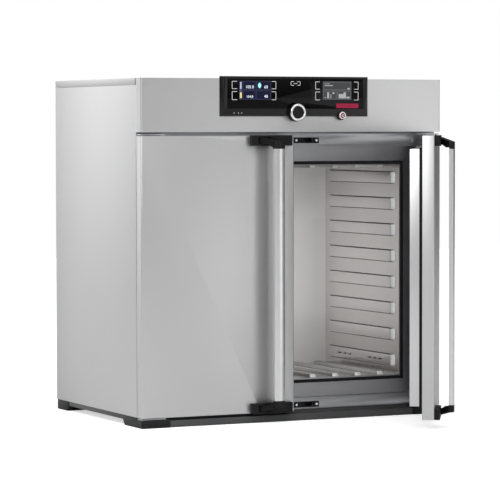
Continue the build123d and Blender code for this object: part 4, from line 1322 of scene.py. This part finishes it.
def makeFloor():
    work = bmesh.new()
    addBox(work, (-12, -12, -0.02), (12, 12, 0.0))
    floor = bpy.data.objects.new("floor", asMesh(work, "floor"))
    material = bpy.data.materials.new("paleFloor")
    material.use_nodes = True
    tree = material.node_tree
    where = addNode(tree, "ShaderNodeTexCoord").outputs
    tone = noise(tree, where["Object"], 3.0)
    colour = mixColour(tree, tone, (0.93, 0.93, 0.93, 1), (0.96, 0.96, 0.96, 1))
    shader = tree.nodes["Principled BSDF"]
    seen = addNode(tree, "ShaderNodeLightPath").outputs["Is Camera Ray"]
    tree.links.new(colour, shader.inputs["Base Color"])
    shader.inputs["Roughness"].default_value = 0.6
    shader.inputs["Emission Color"].default_value = (1.0, 1.0, 1.0, 1.0)
    tree.links.new(
        mathNode(tree, "MULTIPLY", seen, floorValues["lift"]), shader.inputs["Emission Strength"]
    )
    floor.data.materials.append(material)
    bpy.context.scene.collection.objects.link(floor)


def makeSurroundings(v):
    world = bpy.data.worlds.new("studio")
    bpy.context.scene.world = world
    world.use_nodes = True
    tree = world.node_tree
    seen = addNode(tree, "ShaderNodeLightPath").outputs["Is Camera Ray"]
    toward = addNode(tree, "ShaderNodeTexCoord").outputs["Generated"]
    total = v["base"]
    for direction, power, strength in v["lobes"]:
        facing = addNode(
            tree, "ShaderNodeVectorMath", {"operation": "DOT_PRODUCT"},
            {0: toward, 1: Vector(direction).normalized()}
        )
        lobe = mathNode(tree, "POWER", mathNode(tree, "MAXIMUM", facing.outputs["Value"], 0.0), power)
        total = mathNode(tree, "ADD", mathNode(tree, "MULTIPLY", lobe, strength), total)
    shown = addNode(
        tree, "ShaderNodeMix", {"data_type": "FLOAT"}, {0: seen, 2: total, 3: 1.0}
    ).outputs[0]
    background = tree.nodes["Background"]
    background.inputs["Color"].default_value = (1.0, 1.0, 1.0, 1.0)
    tree.links.new(shown, background.inputs["Strength"])


def softLamp(name, place, target, size, power, roll):
    data = bpy.data.lights.new(name, "AREA")
    data.shape = "RECTANGLE"
    data.size, data.size_y = size
    data.energy = power
    lamp = bpy.data.objects.new(name, data)
    facing = (Vector(target) - Vector(place)).to_track_quat("-Z", "Y").to_matrix().to_4x4()
    lamp.matrix_world = Matrix.Translation(place) @ facing @ Matrix.Rotation(math.radians(roll), 4, "Z")
    lamp.visible_camera = False
    bpy.context.scene.collection.objects.link(lamp)


studioValues = {
    "base": 0.02,  # even brightness of the surroundings
    "lobes": [  # direction, narrowness, strength
        ((-0.44, 0.9, 0.0), 3.0, 0.25),
        ((-0.44, 0.8, 0.4), 8.0, 1.9),
        ((0.0, -0.6, 0.8), 4.0, 1.55),
        ((0.0, 0.0, 1.0), 2.0, 0.29),
    ],
}
studioLamps = {  # place, aim, size, watts and roll in degrees
    "cardLamp": ((2.0, -3.0, 0.75), (0.0, 0.0, 0.75), (1.4, 1.4), 6.4, 42),
    "wideLamp": ((2.6, -2.6, 1.0), (0.2, 0.0, 0.9), (1.6, 2.4), 7.5, 0),
    "highLamp": ((-3.0, -3.0, 2.6), (0.0, 0.2, 0.6), (1.5, 1.5), 52, 0),
    "chamberLamp": ((0.0, 0.33, 0.90), (0.0, 0.34, 0.1), (0.5, 0.35), 0.15, 0),
    "backWallLamp": ((0.15, 0.30, 0.54), (0.30, 0.647, 0.54), (0.5, 0.7), 0.8, 0),
}
makeFloor()
makeSurroundings(studioValues)
for name, values in studioLamps.items():
    softLamp(name, *values)

bpy.context.scene.view_settings.view_transform = "Standard"
